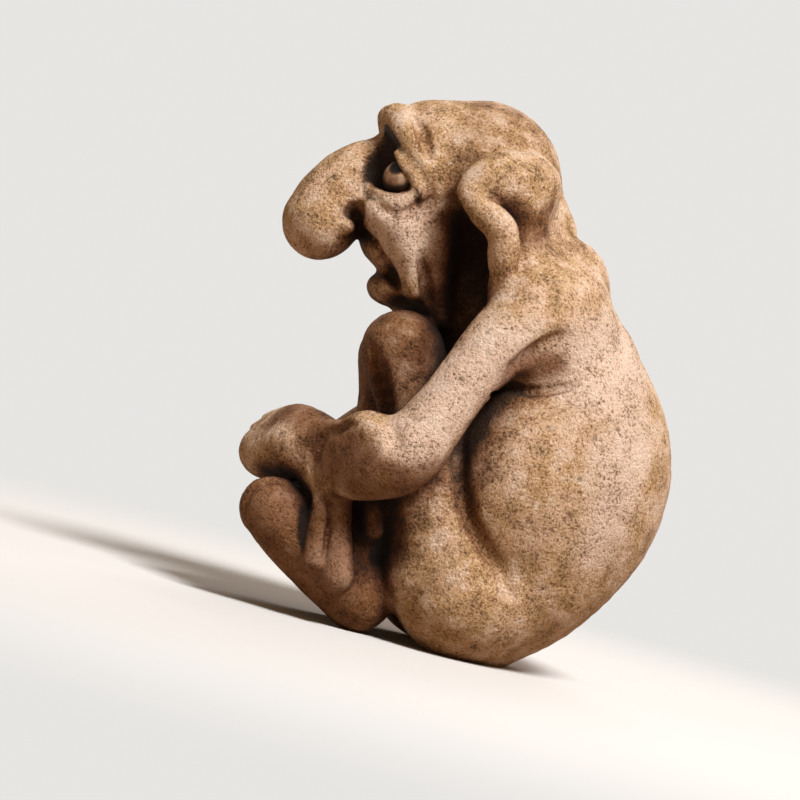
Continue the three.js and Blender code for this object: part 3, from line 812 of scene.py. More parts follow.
# %% Armpit, flank, throat and back
ARM_FOLD = around(TORSO[SIDE_ON], [
    (-14.5, 11.2, 1.2), (-11, 15.3, 1.8), (-7.2, 18.9, 1.4), (-5.3, 20.4, 0.4),
])
ARMPIT_LINE = around(TORSO[SIDE_ON], [
    (-17.3, 4.7, 0.6), (-14.1, 6.9, 1.1), (-9.8, 7.4, 1.2), (-5, 9, 1.2), (-1.5, 10.8, 0.9),
    (0, 12.1, 0.2),
])
ARMPIT_SHADE = around(TORSO[SIDE_ON], [
    (-15.3, 10, 0), (-11.3, 11.8, 1), (-7.3, 13.3, 0.5), (-4.3, 14.1, -1),
])
FLANK_LINE = around(TORSO[SIDE_ON], [
    (-20.8, -6.5, 0.8), (-18.5, -14, 1.1), (-14.9, -20.7, 1.1), (-10.8, -25.3, 0.9), (-6.8, -29.3, 0.6),
    (-2.8, -34, 0.2),
])
THROAT = around(HEAD, [
    (8.5, 17, 0.9, 2), (11.2, 14, -5.6, 4.2), (12.7, 12.5, -12.6, 4.2), (13, 13, -17.6, 3),
])
EAR_SHADE = around(EAR, [(1.2, 3, 1.9, 1), (4, 2.6, 0.1, 1), (7.4, 1, 1, 1), (9.4, -1, 5.5, -1)])
# Share of the throat's radius that takes wash as painted shade.
THROAT_SHADE = 0.5
KNEE_GAP = around(TORSO, [(-42.6, 0, 6.5, 2.6), (-40.3, 0, 0.5, 3.6), (-37.3, 0, -8.5, 4)])
FURROW = around(TORSO[BEHIND], [
    (0, 33.5, 0.2), (0, 25.5, 0.8), (0, 15.5, 1.1), (0, 1.5, 1.1), (0, -10.5, 0.9), (0, -22.5, 0.7),
    (0, -32.5, 1.2), (0, -42.5, 1.6), (0, -47.5, 1.2),
])

for side in SIDES.values():
    grime.add(limb(lay(figure, ARMPIT_SHADE, side), REACH, 1))
    crease(figure, ARM_FOLD, side, melt=2, dry=1.4)
    crease(figure, ARMPIT_LINE, side, melt=0.6, dry=0.8)
    crease(figure, FLANK_LINE, side, melt=2.5, dry=1.2)
    throat = mirrored(side, THROAT)
    figure.carve(limb(throat), melt=4)
    throat[:, 3] *= THROAT_SHADE
    wash.add(limb(throat))
    grime.add(form_on(side, EAR_SHADE))
# The wash in the gap between the knees is painted shade.
gap = limb(KNEE_GAP)
figure.carve(gap, melt=2)
wash.add(gap)
figure.carve(limb(lay(figure, FURROW, 1, axis=0), LINE_REACH, 1), melt=4)
print("creases: figure is now", figure.volume(), "cubic cm")

# %% [markdown]
# ## Toes, knuckles and wrists
# The toes aren't separate forms. On a casting of this size they are a thick foot with three grooves over
# its end, and each groove is an arc round the foot's last ball. The fist's fingers are grooves too. A
# crease parts the wrist from the hand, another marks the crook of the elbow, and a fine one lies between
# two hanging fingers.

# %% Toes
TOE_OFFSETS = (-3.3, 0, 3.3)
TOE_DEPTH = 0.9
TOE_LEAN = np.radians(25)
TOE_ANGLES = np.radians([60, 40, 20, 0, -25, -50])


def toe_line(word, offset):
    """A groove over the end of a foot: an arc round its last ball, at an offset across the foot.

    The arc lies in the plane of the foot's way and its upward normal. Its radius is that of the ball's
    slice, and the depth falls off as the root of the cosine of the angle from the middle of the toes.
    """
    (x, _, z, _), (tip_x, tip_y, tip_z, radius) = FOOT[word][-2:]
    forwards = np.array([tip_x - x, tip_z - z]) / math.hypot(tip_x - x, tip_z - z)
    upwards = np.array([forwards[1], -forwards[0]])
    turn = TOE_ANGLES[:, None]
    reach = math.sqrt(radius ** 2 - offset ** 2)
    arc = np.array([tip_x, tip_z]) + reach * (np.cos(turn) * forwards + np.sin(turn) * upwards)
    depth = TOE_DEPTH * np.sqrt(np.cos(TOE_ANGLES - TOE_LEAN))
    return np.column_stack([arc[:, 0], np.full(len(arc), tip_y + offset), arc[:, 1], depth])


for word, side in SIDES.items():
    for offset in TOE_OFFSETS:
        figure.carve(form_on(side, toe_line(word, offset)))
print("toes:", 2 * (len(TOE_OFFSETS) + 1))

# %% Fingers, elbows and wrist
FIST_LINE = around(HAND["left"][BEHIND], [
    (5.8, 12.1, 0.2), (7.8, 11.7, 0.7), (10.8, 11.1, 0.8), (13.3, 10.3, 0.3),
])
FIST_LINES = 3
FINGER_PITCH = 3.2
ELBOW_LINE = around(ARM["left"][SIDE_ON], [
    (-11.9, -12.5, 0.2), (-11, -14.3, 0.8), (-10.7, -15.7, 0.8), (-11.1, -17.5, 0.2),
])
WRIST_LINE = around(HAND["left"][SIDE_ON], [
    (4.8, 16.1, 0.5), (2.4, 14.5, 1.3), (0.1, 12.5, 1.6), (-0.4, 10, 1.6), (-0.2, 6.7, 1.4),
    (0.6, 3.1, 0.8),
])
FINGER_GAP = around(HAND["right"][SIDE_ON], [
    (-2.5, 3.9, 0.2), (-1.9, 1.1, 0.4), (-1.5, -1.4, 0.5), (-1.1, -5.4, 0.5), (-0.8, -7.9, 0.2),
])

for finger in range(FIST_LINES):
    line = FIST_LINE - [0, finger * FINGER_PITCH, 0]
    figure.carve(limb(lay(figure, line, -1, axis=0), LINE_REACH, 1))
for side in SIDES.values():
    crease(figure, ELBOW_LINE, side, melt=2.5, dry=1.2)
crease(figure, WRIST_LINE, LEFT, melt=1.2)
crease(figure, FINGER_GAP, LEFT, melt=0.4)
field = np.maximum(figure.field, -Z)
label = np.where(field < 0, owner, 0).astype(np.uint8)
print("samples inside:", {clay.name: int((label == number).sum()) for number, clay in enumerate(pieces, 1)})

# %% [markdown]
# ## From the field to a skin
# Marching cubes would give one skin for the whole figure, and so would a voxel remesh. Here each casting
# needs a closed mesh of its own that meets the next one without a seam. So every sample has a label, 0
# outside or the number of its piece, and a quad is put across each step from one label to another. The same
# points serve both sides of a joint.

# %% Skin points
CORNERS = np.array([(i, j, k) for i in (0, 1) for j in (0, 1) for k in (0, 1)])
EDGES = [(a, b) for a in range(8) for b in range(a + 1, 8) if abs(CORNERS[a] - CORNERS[b]).sum() == 1]


def skin_points(values, labels):
    """One point in each cell of eight samples that don't all have one label.

    On the skin it is the mean of the places where the cell's edges cross distance zero. Inside, on a joint,
    it is the mean of the middles of the edges whose ends lie in two pieces.
    """
    n = np.array(values.shape) - 1
    mixed = np.zeros(tuple(n), bool)
    for i, j, k in CORNERS[1:]:
        mixed |= labels[i:n[0] + i, j:n[1] + j, k:n[2] + k] != labels[:-1, :-1, :-1]
    cells = np.argwhere(mixed)
    corners = [tuple((cells + corner).T) for corner in CORNERS]
    value = np.stack([values[index] for index in corners], 1)
    tag = np.stack([labels[index] for index in corners], 1)
    on_skin = (tag == 0).any(1)
    total = np.zeros((len(cells), 3), np.float32)
    count = np.zeros(len(cells), np.float32)
    for a, b in EDGES:
        crossing = np.where(on_skin, (tag[:, a] == 0) != (tag[:, b] == 0), tag[:, a] != tag[:, b])
        gap = value[:, a] - value[:, b]
        share = np.where(on_skin & crossing, value[:, a] / np.where(gap == 0, 1, gap), 0.5)
        place = CORNERS[a] + np.clip(share, 0, 1)[:, None] * (CORNERS[b] - CORNERS[a])
        total += place * crossing[:, None]
        count += crossing
    number = np.full(tuple(n), -1, np.int32)
    number[tuple(cells.T)] = np.arange(len(cells))
    return (cells + total / count[:, None]) * PITCH + grid_low, number, on_skin


skin, cell_number, on_skin = skin_points(field, label)
print("skin:", len(skin), "points,", int((~on_skin).sum()), "of them on joints")

# %% Skin quads
def skin_quads(labels, number):
    """A quad across each step of the block whose two ends lie in different pieces, with the two labels.

    Its corners are the points of the four cells that share the step.
    """
    quads, pairs = [], []
    for axis in range(3):
        one, two = (axis + 1) % 3, (axis + 2) % 3
        first = np.take(labels, range(labels.shape[axis] - 1), axis)
        second = np.take(labels, range(1, labels.shape[axis]), axis)
        steps = np.argwhere(first != second)
        corners = []
        for a, b in ((0, 0), (1, 0), (1, 1), (0, 1)):
            cell = steps.copy()
            cell[:, one] -= 1 - a
            cell[:, two] -= 1 - b
            corners.append(number[tuple(cell.T)])
        quads.append(np.stack(corners, 1))
        index = tuple(steps.T)
        pairs.append(np.stack([first[index], second[index]], 1))
    return np.vstack(quads), np.vstack(pairs)


def point_normals(points, faces):
    """For each point, the mean direction of its quads, each the cross product of the quad's diagonals."""
    across = np.cross(points[faces[:, 2]] - points[faces[:, 0]], points[faces[:, 3]] - points[faces[:, 1]])
    total = np.stack([
        np.bincount(faces.ravel(), np.repeat(across[:, axis], 4), len(points)) for axis in range(3)
    ], 1)
    return total / np.maximum(np.linalg.norm(total, axis=1, keepdims=True), TINY)


quads, sides_of = skin_quads(label, cell_number)
skin_faces = np.vstack([quads[sides_of[:, 1] == 0], quads[sides_of[:, 0] == 0][:, ::-1]])
normals = point_normals(skin, skin_faces)
print("quads:", len(quads), "with", len(skin_faces), "on the outside")

# %% [markdown]
# ## Hollows and heights
# The finish paints shade into what lies deep and wipes what stands out, so it has to know both. Blender
# can bake ambient occlusion for this, but a bake needs a render and an image. The field gives it at once:
# rays go out from each point, and a ray is as open as its tightest step allows.

# %% Hollows
SKY_RAYS = 40
SKY_STEPS = (1.2, 2.5, 5, 9, 14)
SKY_START = 0.6
OPEN_SHARE = 0.35
GOLDEN_ANGLE = math.pi * (3 - math.sqrt(5))
EDGE_GAP = 0.001
FINE_STEPS = (0.7, 1.4)
CREST_STEPS = (-1.5, -3)


def cell_corners(base, part):
    """The eight corners of each cell and their weights: on each axis the part or 1 less it, multiplied."""
    for corner in CORNERS:
        yield base + corner, np.where(corner, part, 1 - part).prod(1)


def sample(values, points):
    """The field between its samples: the mean of the eight round a point, by nearness."""
    cell = np.clip((points - grid_low) / PITCH, 0, last_cell - EDGE_GAP)
    base = cell.astype(int)
    return sum(weight * values[tuple(index.T)] for index, weight in cell_corners(base, cell - base))


def shelter(points, normals, steps):
    """How hollow a place is: the mean share by which distance falls short of the way walked outwards."""
    lack = sum(1 - sample(field, points + normals * step) / step for step in steps) / len(steps)
    return np.where(on_skin, np.clip(lack, 0, 1), 0)


def shade(points, normals):
    """How little sky a point sees: even rays, each with the least of its distances over its steps."""
    turn = np.arange(SKY_RAYS)
    height = 1 - (2 * turn + 1) / SKY_RAYS
    angle = turn * GOLDEN_ANGLE
    flat = np.sqrt(1 - height ** 2)
    rays = np.stack([flat * np.cos(angle), flat * np.sin(angle), height], 1)
    start = ((points + SKY_START * normals - grid_low) / PITCH).astype(np.float32)
    seen = np.zeros(len(points), np.float32)
    total = np.zeros(len(points), np.float32)
    for ray in rays:
        facing = np.maximum(normals @ ray, 0).astype(np.float32)
        free = np.ones(len(points), np.float32)
        for step in SKY_STEPS:
            cell = np.rint(start + (ray * step / PITCH).astype(np.float32)).astype(np.int32)
            cell = np.clip(cell, 0, last_cell)
            free = np.minimum(free, field[cell[:, 0], cell[:, 1], cell[:, 2]] / (OPEN_SHARE * step))
        seen += facing * np.maximum(free, 0)
        total += facing
    return np.where(on_skin, 1 - seen / np.maximum(total, TINY), 0)


# How little sky each point sees, which the stone paints as shade in the hollows.
hollow = shade(skin, normals)
fine_hollow = shelter(skin, normals, FINE_STEPS)
raised = shelter(skin, -normals, CREST_STEPS)
print("hollow:", hollow.mean().round(3), "raised:", raised.mean().round(3))

# %% [markdown]
# ## How much wash, painted shade and painted light
# The distance from the skin to each field of colour becomes a share from 0 to 1. The wash, painted shade
# too, has a crisp edge. The painted shade with grime and the painted light fade out over several
# millimetres. The stone is also more earthy low down and on top of the head.

# %% Shares of colour
WASH_AND_SHADE_FADE = 1.2
GRIME_AND_SHADE_FADE = 6
PAINTED_LIGHT_FADE = 8
CROWN = (0.724, 0.845)
BASE = (0.293, 0.103)


def rise(values, low, high):
    """0 at low, 1 at high, and between them three times the share's square less twice its cube."""
    share = np.clip((values - low) / (high - low), 0, 1)
    return share * share * (3 - 2 * share)


stain = np.clip(1 - sample(wash.field, skin) / WASH_AND_SHADE_FADE, 0, 1)
patina = rise(sample(grime.field, skin), GRIME_AND_SHADE_FADE, 0)
worn = rise(sample(dust.field, skin), PAINTED_LIGHT_FADE, 0)
height = skin[:, 2] / FIGURE_TOP
earth = rise(height, *CROWN) + rise(height, *BASE)
print("shares: stain", stain.mean().round(3), "grime", patina.mean().round(3), "dust", worn.mean().round(3))

# %% [markdown]
# ## Grain in the clay
# Cast stone is full of small pits and lumps. All of it could be bump, but the largest pits catch the light
# at the outline, so they are real dents in the mesh, from a noise of random values on a lattice. The finest
# are left to the material. In the creases the clay is smooth, as it came off the tool.

# %% Grain
TURN = np.array(Matrix.Rotation(1.1, 3, Vector((1, 2, 3))))
PIT_SIZE = 1.15
PIT_LEVEL = 0.5
PIT_DEPTH = 0.3
LUMP_HEIGHT = 0.1
LUMP_LAYERS = ((TURN, 5, 1), (np.eye(3), 2.4, 0.5), (TURN.T, 1.2, 0.5))
PIT_SEED = 1
LUMP_SEED = 3
SMOOTH_GAIN = 2
SCRAMBLERS = (73856093, 19349663, 83492791)
SEED_SCRAMBLER = 2654435761
STIRRER = 1274126177
WORD_BITS = 0xFFFFFFFF
LOW_BITS = 0xFFFF


def lattice_noise(points, size, seed):
    """Smooth noise from -1 to 1: a scrambled number at each lattice corner, blended between the corners."""
    cell = points / size
    base = np.floor(cell).astype(np.int64)
    total = np.zeros(len(points))
    for index, weight in cell_corners(base, rise(cell - base, 0, 1)):
        code = np.bitwise_xor.reduce(index * SCRAMBLERS, 1) ^ (seed * SEED_SCRAMBLER)
        code = ((code ^ (code >> 13)) * STIRRER) & WORD_BITS
        code = (code ^ (code >> 16)) & LOW_BITS
        total += weight * (2 * code / LOW_BITS - 1)
    return total


pits = np.clip(lattice_noise(skin @ TURN, PIT_SIZE, PIT_SEED) - PIT_LEVEL, 0, 1) / PIT_LEVEL
lumps = sum(
    weight * lattice_noise(skin @ turn, size, seed)
    for seed, (turn, size, weight) in enumerate(LUMP_LAYERS, LUMP_SEED)
)
bare = np.where(on_skin, 1 - np.clip(SMOOTH_GAIN * fine_hollow, 0, 1), 0)
relief = (LUMP_HEIGHT * lumps - PIT_DEPTH * pits) * bare
skin = skin + normals * relief[:, None]
skin[:, 2] = np.maximum(skin[:, 2], 0)
normals = point_normals(skin, skin_faces)
print("grain: from", relief.min().round(2), "to", relief.max().round(2), "mm")

# %% [markdown]
# ## One closed mesh for each casting
# Each piece takes its own part of the skin and its own joint faces, turned outwards. The joint faces are
# hidden while the pieces sit together. Neighbours share the skin's normals, so no seam shows. The shares of
# colour go along as attributes of the points, which a material can read.

# %% Pieces
SURFACE = {
    "hollow": hollow, "raised": raised, "pit": pits, "stain": stain,
    "patina": patina, "worn": worn, "earth": earth,
}


def mesh_object(name, points, faces):
    """A mesh from whole arrays of points in millimetres and of quads."""
    mesh = bpy.data.meshes.new(name)
    mesh.vertices.add(len(points))
    mesh.vertices.foreach_set("co", (points * MM).astype(np.float32).ravel())
    mesh.loops.add(faces.size)
    mesh.loops.foreach_set("vertex_index", faces.astype(np.int32).ravel())
    mesh.polygons.add(len(faces))
    mesh.polygons.foreach_set("loop_start", np.arange(0, faces.size, 4, dtype=np.int32))
    mesh.polygons.foreach_set("use_smooth", np.ones(len(faces), bool))
    mesh.update(calc_edges=True)
    return new_object(name, mesh)


def add_attribute(mesh, name, values):
    """One number for each point of a mesh."""
    layer = mesh.attributes.new(name, "FLOAT", "POINT")
    layer.data.foreach_set("value", values.astype(np.float32))


def stone_piece(number, clay):
    """The closed mesh of one casting: the quads with its label on one side, turned to face the other."""
    inner = quads[sides_of[:, 0] == number]
    outer = quads[sides_of[:, 1] == number][:, ::-1]
    used, index = np.unique(np.vstack([inner, outer]), return_inverse=True)
    faces = index.reshape(-1, 4)
    points = skin[used]
    piece = mesh_object("stone_" + clay.name, points, faces)
    own = np.where(on_skin[used][:, None], normals[used], point_normals(points, faces))
    piece.data.normals_split_custom_set_from_vertices(own)
    for name, values in SURFACE.items():
        add_attribute(piece.data, name, values[used])
    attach(piece, "root")
    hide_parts(clay.name)
    return piece


stones = [stone_piece(number, clay) for number, clay in enumerate(pieces, 1)]
print("quads in each piece:", {piece.name: len(piece.data.polygons) for piece in stones})

# %% [markdown]
# ## The eyes
# Each eye is a bead that is let into its socket. A ball is a function of two angles, and the pupil is a
# shallow dish pressed into it, so the grid's pole is turned to where the eye looks. A plain sphere would
# need its pupil painted by coordinates. Here the angle from the pole is kept as an attribute and does it.

# %% Eyes
EYE_RINGS = 48
EYE_SECTORS = 64
GAZE = (-0.5, 0.7, 0.58)
PUPIL = 0.4
DISH_DEPTH = 0.35


def bead_points(radius):
    """A ball by two angles, less a dish: a depth by one less the fourth power of angle over pupil angle."""
    angle = np.linspace(0, math.pi, EYE_RINGS + 1)[1:-1]
    sector = np.linspace(0, 2 * math.pi, EYE_SECTORS, endpoint=False)
    u, v = np.meshgrid(angle, sector, indexing="ij")
    u = np.concatenate([[0], u.ravel(), [math.pi]])
    v = np.concatenate([[0], v.ravel(), [0]])
    reach = radius - DISH_DEPTH * np.clip(1 - (u / PUPIL) ** 4, 0, 1)
    return u, reach[:, None] * np.stack([np.sin(u) * np.cos(v), np.sin(u) * np.sin(v), np.cos(u)], 1)


def bead_faces(count):
    """Belts of quads between the rings, and a fan of triangles at each pole."""
    ring = np.arange(EYE_SECTORS)
    after = (ring + 1) % EYE_SECTORS
    first = 1 + EYE_SECTORS * np.arange(EYE_RINGS - 2)[:, None]
    below = first + EYE_SECTORS
    belts = np.stack([first + ring, below + ring, below + after, first + after], 2)
    last = count - 1
    tip = np.stack([0 * ring, 1 + ring, 1 + after], 1)
    tail = np.stack([0 * ring + last, last - EYE_SECTORS + after, last - EYE_SECTORS + ring], 1)
    return [*belts.reshape(-1, 4).tolist(), *tip.tolist(), *tail.tolist()]


def eye_piece(word, side):
    """A bead in the place and size of its node, with its pole turned to the gaze."""
    low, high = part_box(word + "_eye")
    radius = (high - low).x / 2 / MM
    turn = np.array(Vector(mirrored(side, GAZE)).to_track_quat("Z", "Y").to_matrix())
    angle, points = bead_points(radius)
    points = points @ turn.T
    mesh = bpy.data.meshes.new(word + "_eye_bead")
    mesh.from_pydata(((points + middle(word + "_eye")) * MM).tolist(), [], bead_faces(len(points)))
    mesh.polygons.foreach_set("use_smooth", np.ones(len(mesh.polygons), bool))
    add_attribute(mesh, "gaze", angle)
    add_attribute(mesh, "height", points[:, 2] / radius)
    piece = new_object(word + "_eye_bead", mesh)
    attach(piece, "root")
    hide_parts(word + "_eye")
    return piece


eyes = [eye_piece(word, side) for word, side in SIDES.items()]
print("eyes:", [len(eye.data.polygons) for eye in eyes], "faces")

# %% [markdown]
# ## Finishes as sums
# A finish is a tree of nodes. Linking each node by hand hides what is computed, so the class below wraps a
# socket: a sum on sockets is written as a sum in Python and becomes Math nodes, and any other node is added
# in one call.

# %% Wires
MIX_SHARE, MIX_UNDER, MIX_OVER = 0, 6, 7
MIX_RESULT = 2
NOISE_MEAN = 0.5


class Wire:
    """A socket in a tree of nodes. Sums on it add Math nodes, and node() adds any other node."""

    def __init__(self, tree, socket=None):
        self.tree = tree
        self.socket = socket

    def node(self, kind, settings=None, inputs=None, output=0):
        """Adds a node with its settings and inputs, which may be wires or values, and gives one output."""
        made = self.tree.nodes.new(kind)
        for name, value in (settings or {}).items():
            setattr(made, name, value)
        for name, value in (inputs or {}).items():
            if isinstance(value, Wire):
                self.tree.links.new(value.socket, made.inputs[name])
            else:
                made.inputs[name].default_value = value
        return Wire(self.tree, made.outputs[output] if made.outputs else None)

    def math(self, operation, *values):
        """One Math node on wires or numbers."""
        return self.node("ShaderNodeMath", {"operation": operation}, dict(enumerate(values)))

    def __add__(self, other):
        return self.math("ADD", self, other)

    def __radd__(self, other):
        return self.math("ADD", other, self)

    def __sub__(self, other):
        return self.math("SUBTRACT", self, other)

    def __rsub__(self, other):
        return self.math("SUBTRACT", other, self)

    def __mul__(self, other):
        return self.math("MULTIPLY", self, other)

    def __rmul__(self, other):
        return self.math("MULTIPLY", other, self)

    def step(self, low, high, most=1.0):
        """0 at low, the most at high, and a smooth rise between."""
        settings = {"interpolation_type": "SMOOTHSTEP"}
        inputs = {"Value": self, "From Min": low, "From Max": high, "To Max": most}
        return self.node("ShaderNodeMapRange", settings, inputs)

    def attribute(self, name):
        """A number that the mesh carries at its points."""
        return self.node("ShaderNodeAttribute", {"attribute_name": name}, output="Fac")

    def noise(self, size, detail=2, rough=0.5):
        """Noise with features of a size in millimetres, on the piece's own coordinates."""
        place = self.node("ShaderNodeTexCoord", output="Object")
        place = self.node("ShaderNodeVectorMath", {"operation": "SCALE"}, {0: place, "Scale": 1 / MM})
        inputs = {"Vector": place, "Scale": 1 / size, "Detail": detail, "Roughness": rough}
        return self.node("ShaderNodeTexNoise", inputs=inputs)

    def mix(self, share, under, over, blend="MIX"):
        """One colour over another, by a share from 0 to 1. The blend MULTIPLY makes it a glaze."""
        settings = {"data_type": "RGBA", "blend_type": blend}
        inputs = {MIX_SHARE: share, MIX_UNDER: under, MIX_OVER: over}
        return self.node("ShaderNodeMix", settings, inputs, output=MIX_RESULT)

    def coat(self, under, low, high, most, paint, blend="MIX"):
        """A paint over a colour. Its share rises from 0 to the most as this wire goes from low to high."""
        return self.mix(self.step(low, high, most), under, paint, blend)


def new_finish(name):
    """A material with a bare tree, and the first wire of it."""
    material = bpy.data.materials.new(name)
    material.use_nodes = True
    material.node_tree.nodes.clear()
    return material, Wire(material.node_tree)


def finish_with(wire, kind, inputs):
    """The last shader of a tree and its way out."""
    wire.node("ShaderNodeOutputMaterial", inputs={"Surface": wire.node(kind, inputs=inputs)})


def colour(red, green, blue):
    """A colour on a screen's scale of 255, as the linear light that nodes work in."""
    channels = np.array([red, green, blue]) / 255
    linear = np.where(channels < 0.04045, channels / 12.92, ((channels + 0.055) / 1.055) ** 2.4)
    return (*(float(channel) for channel in linear), 1.0)


print("colour: mid grey is", round(colour(128, 128, 128)[0], 3), "as linear light")

# %% [markdown]
# ## The stone
# The surface is sandy: clouds of ochre and pink, blotches that are worn pale or stay olive, grains lighter
# and darker than the ground, and dark pores, with painted light that makes the most lit places paler. Over
# that lie a brown glaze of painted shade and grime, painted shade in the hollows, and the nearly black wash
# of the creases, which is painted shade too. A photograph as a texture would carry its own light along.
# Noise at four sizes has none, and it has no seam. A noise is given by its size, detail and roughness, and
# a coat by two levels, its greatest share and its colour.

# %% Stone
CLOUDS = (10, 3, 0.6)
BLOTCHES = (5.5, 4, 0.6)
PORES = (0.95, 3, 0.7)
GRAINS = (0.55, 4, 0.72)
OCHRE = colour(204, 154, 88)
PINK = (0.38, 0.62, 1, colour(228, 183, 145))
CREAM = (0.46, 0.66, 0.7, colour(240, 208, 182))
OLIVE = (0.52, 0.34, 0.55, colour(156, 118, 64))
CREST = (0.02, 0.25, 0.3, colour(236, 204, 176))
# Painted light: a pale colour laid where the light falls most.
PAINTED_LIGHT_COLOUR = colour(248, 218, 198)
PAINTED_LIGHT_SHARE = 0.6
DARK_GRAIN = (0.5, 0.34, 0.9, colour(116, 79, 40))
PALE_GRAIN = (0.55, 0.68, 0.85, colour(252, 234, 214))
PORE = colour(94, 62, 32)
PORE_EDGE = (0.4, 0.33)
PORE_SHARE = 0.9
WIPE_EDGE = (0.05, 0.3)
WIPE_SHARE = 0.4
PIT = (0.15, 0.9, 0.6, colour(80, 52, 28))
# A brown glaze of painted shade, with some grime, from its own field.
GRIME_AND_SHADE_GLAZE = (0.1, 1, 0.85, colour(146, 110, 74), "MULTIPLY")
# Painted shade of the hollows, by how little sky they see: a brown glaze, then a nearly black coat.
OCCLUSION_GLAZE = (0.06, 0.5, 0.8, colour(146, 106, 70), "MULTIPLY")
OCCLUSION_SHADE = (0.4, 0.8, 0.9, colour(34, 20, 12))
# The wash of the creases and gaps, darkened nearly black as painted shade.
WASH_AND_SHADE = (0.2, 0.95, 0.93, colour(22, 12, 7))
CLOUD_SHIFT, PAINTED_LIGHT_SHIFT = 0.1, 0.05
SPECK_DRIFT, PORE_DRIFT, GRIME_AND_SHADE_DRIFT, OCCLUSION_DRIFT = 0.3, 0.35, 0.8, 0.4
OCCLUSION_SPECK, WASH_AND_SHADE_SPECK = 0.3, 0.5
GRAIN_RISE, PORE_RISE, PORE_DENT = 0.8, 0.7, 0.3
BUMP_DEPTH = 0.6
STONE_ROUGH, CREST_POLISH, STONE_GLOSS = 0.92, 0.15, 0.25


def sandy_ground(wire, part, blotch, grain):
    """Clouds, blotches, painted light and grains, each laid over the last by the share its noise gives, or
    its field for the painted light.
    """
    tint = wire.noise(*CLOUDS) + (part["worn"] - part["earth"]) * CLOUD_SHIFT
    ground = tint.coat(OCHRE, *PINK)
    ground = blotch.coat(ground, *CREAM)
    ground = blotch.coat(ground, *OLIVE)
    ground = part["raised"].coat(ground, *CREST)
    ground = wire.mix(part["worn"] * PAINTED_LIGHT_SHARE, ground, PAINTED_LIGHT_COLOUR)
    speck = grain + (blotch - NOISE_MEAN) * SPECK_DRIFT
    ground = speck.coat(ground, *DARK_GRAIN)
    return speck.coat(ground, *PALE_GRAIN)


def painted_shade_and_wash(part, ground, blotch, grain):
    """Painted shade with grime and painted shade of the hollows as glazes that multiply the ground, then the
    shade of the hollows and the wash, painted shade too, that cover it.
    """
    patch, speck = NOISE_MEAN - blotch, NOISE_MEAN - grain
    ground = (part["patina"] + patch * GRIME_AND_SHADE_DRIFT).coat(ground, *GRIME_AND_SHADE_GLAZE)
    occlusion_shade = part["hollow"] + patch * OCCLUSION_DRIFT + speck * OCCLUSION_SPECK
    ground = occlusion_shade.coat(ground, *OCCLUSION_GLAZE)
    ground = occlusion_shade.coat(ground, *OCCLUSION_SHADE)
    return (part["stain"] + speck * WASH_AND_SHADE_SPECK).coat(ground, *WASH_AND_SHADE)


def stone_finish():
    """Sandy ground, dark pores, fewer on what stands out, painted shade and wash over all, and a bump from
    the same noise.
    """
    material, wire = new_finish("cast_stone")
    part = {name: wire.attribute(name) for name in SURFACE}
    blotch = wire.noise(*BLOTCHES) + part["worn"] * PAINTED_LIGHT_SHIFT
    grain = wire.noise(*GRAINS)
    pores = wire.noise(*PORES)
    ground = sandy_ground(wire, part, blotch, grain)
    share = PORE_SHARE - part["raised"].step(*WIPE_EDGE, WIPE_SHARE)
    pore = (pores + (blotch - NOISE_MEAN) * PORE_DRIFT).step(*PORE_EDGE) * share
    ground = wire.mix(pore, ground, PORE)
    ground = part["pit"].coat(ground, *PIT)
    ground = painted_shade_and_wash(part, ground, blotch, grain)
    relief = grain * GRAIN_RISE + pores * PORE_RISE - pore * PORE_DENT
    bump = {"Height": relief, "Strength": 1.0, "Distance": BUMP_DEPTH * MM}
    finish_with(wire, "ShaderNodeBsdfPrincipled", {
        "Base Color": ground,
        "Roughness": STONE_ROUGH - part["raised"] * CREST_POLISH,
        "Normal": wire.node("ShaderNodeBump", inputs=bump),
        "Specular IOR Level": STONE_GLOSS,
    })
    return material


stone = stone_finish()
for piece in stones:
    piece.data.materials.append(stone)
print("stone:", len(stone.node_tree.nodes), "nodes")

# %% [markdown]
# ## The painted eye
# The bead is smoother than the stone and painted: a pinkish white, a dark pupil with a brown rim, and a
# painted shadow of the lids round its edge and over its top. The attributes gaze and height say how far a
# point is from the pupil and how high up.

# %% Eye paint
MOTTLE = (1.2, 3)
BEAD_DARK = colour(152, 118, 92)
BEAD_PALE = (0.35, 0.65, 1, colour(194, 160, 132))
# Painted shade round the bead's edge and painted shadow over its top, where the lids overhang it.
BEAD_EDGE_SHADE = (0.85, 1.25, 0.97, colour(30, 18, 11))
IRIS_RIM = (0.58, 0.46, 1, colour(84, 54, 34))
PUPIL_PAINT = (0.46, 0.38, 1, colour(12, 8, 6))
BEAD_TOP_SHADOW = (0.6, 0.8, 0.9, colour(18, 11, 7))
BEAD_ROUGH, MOTTLE_ROUGH, BEAD_GLOSS = 0.5, 0.15, 0.2


def eye_finish():
    """Rings of paint by the angle from the gaze, the outer one a painted shade, over a mottled white, and a
    painted shadow over the top.
    """
    material, wire = new_finish("eye_stone")
    gaze, height = wire.attribute("gaze"), wire.attribute("height")
    mottle = wire.noise(*MOTTLE)
    paint = mottle.coat(BEAD_DARK, *BEAD_PALE)
    for ring in (BEAD_EDGE_SHADE, IRIS_RIM, PUPIL_PAINT):
        paint = gaze.coat(paint, *ring)
    finish_with(wire, "ShaderNodeBsdfPrincipled", {
        "Base Color": height.coat(paint, *BEAD_TOP_SHADOW),
        "Roughness": BEAD_ROUGH + mottle * MOTTLE_ROUGH,
        "Specular IOR Level": BEAD_GLOSS,
    })
    return material


bead = eye_finish()
for piece in eyes:
    piece.data.materials.append(bead)
print("eye paint:", len(bead.node_tree.nodes), "nodes")

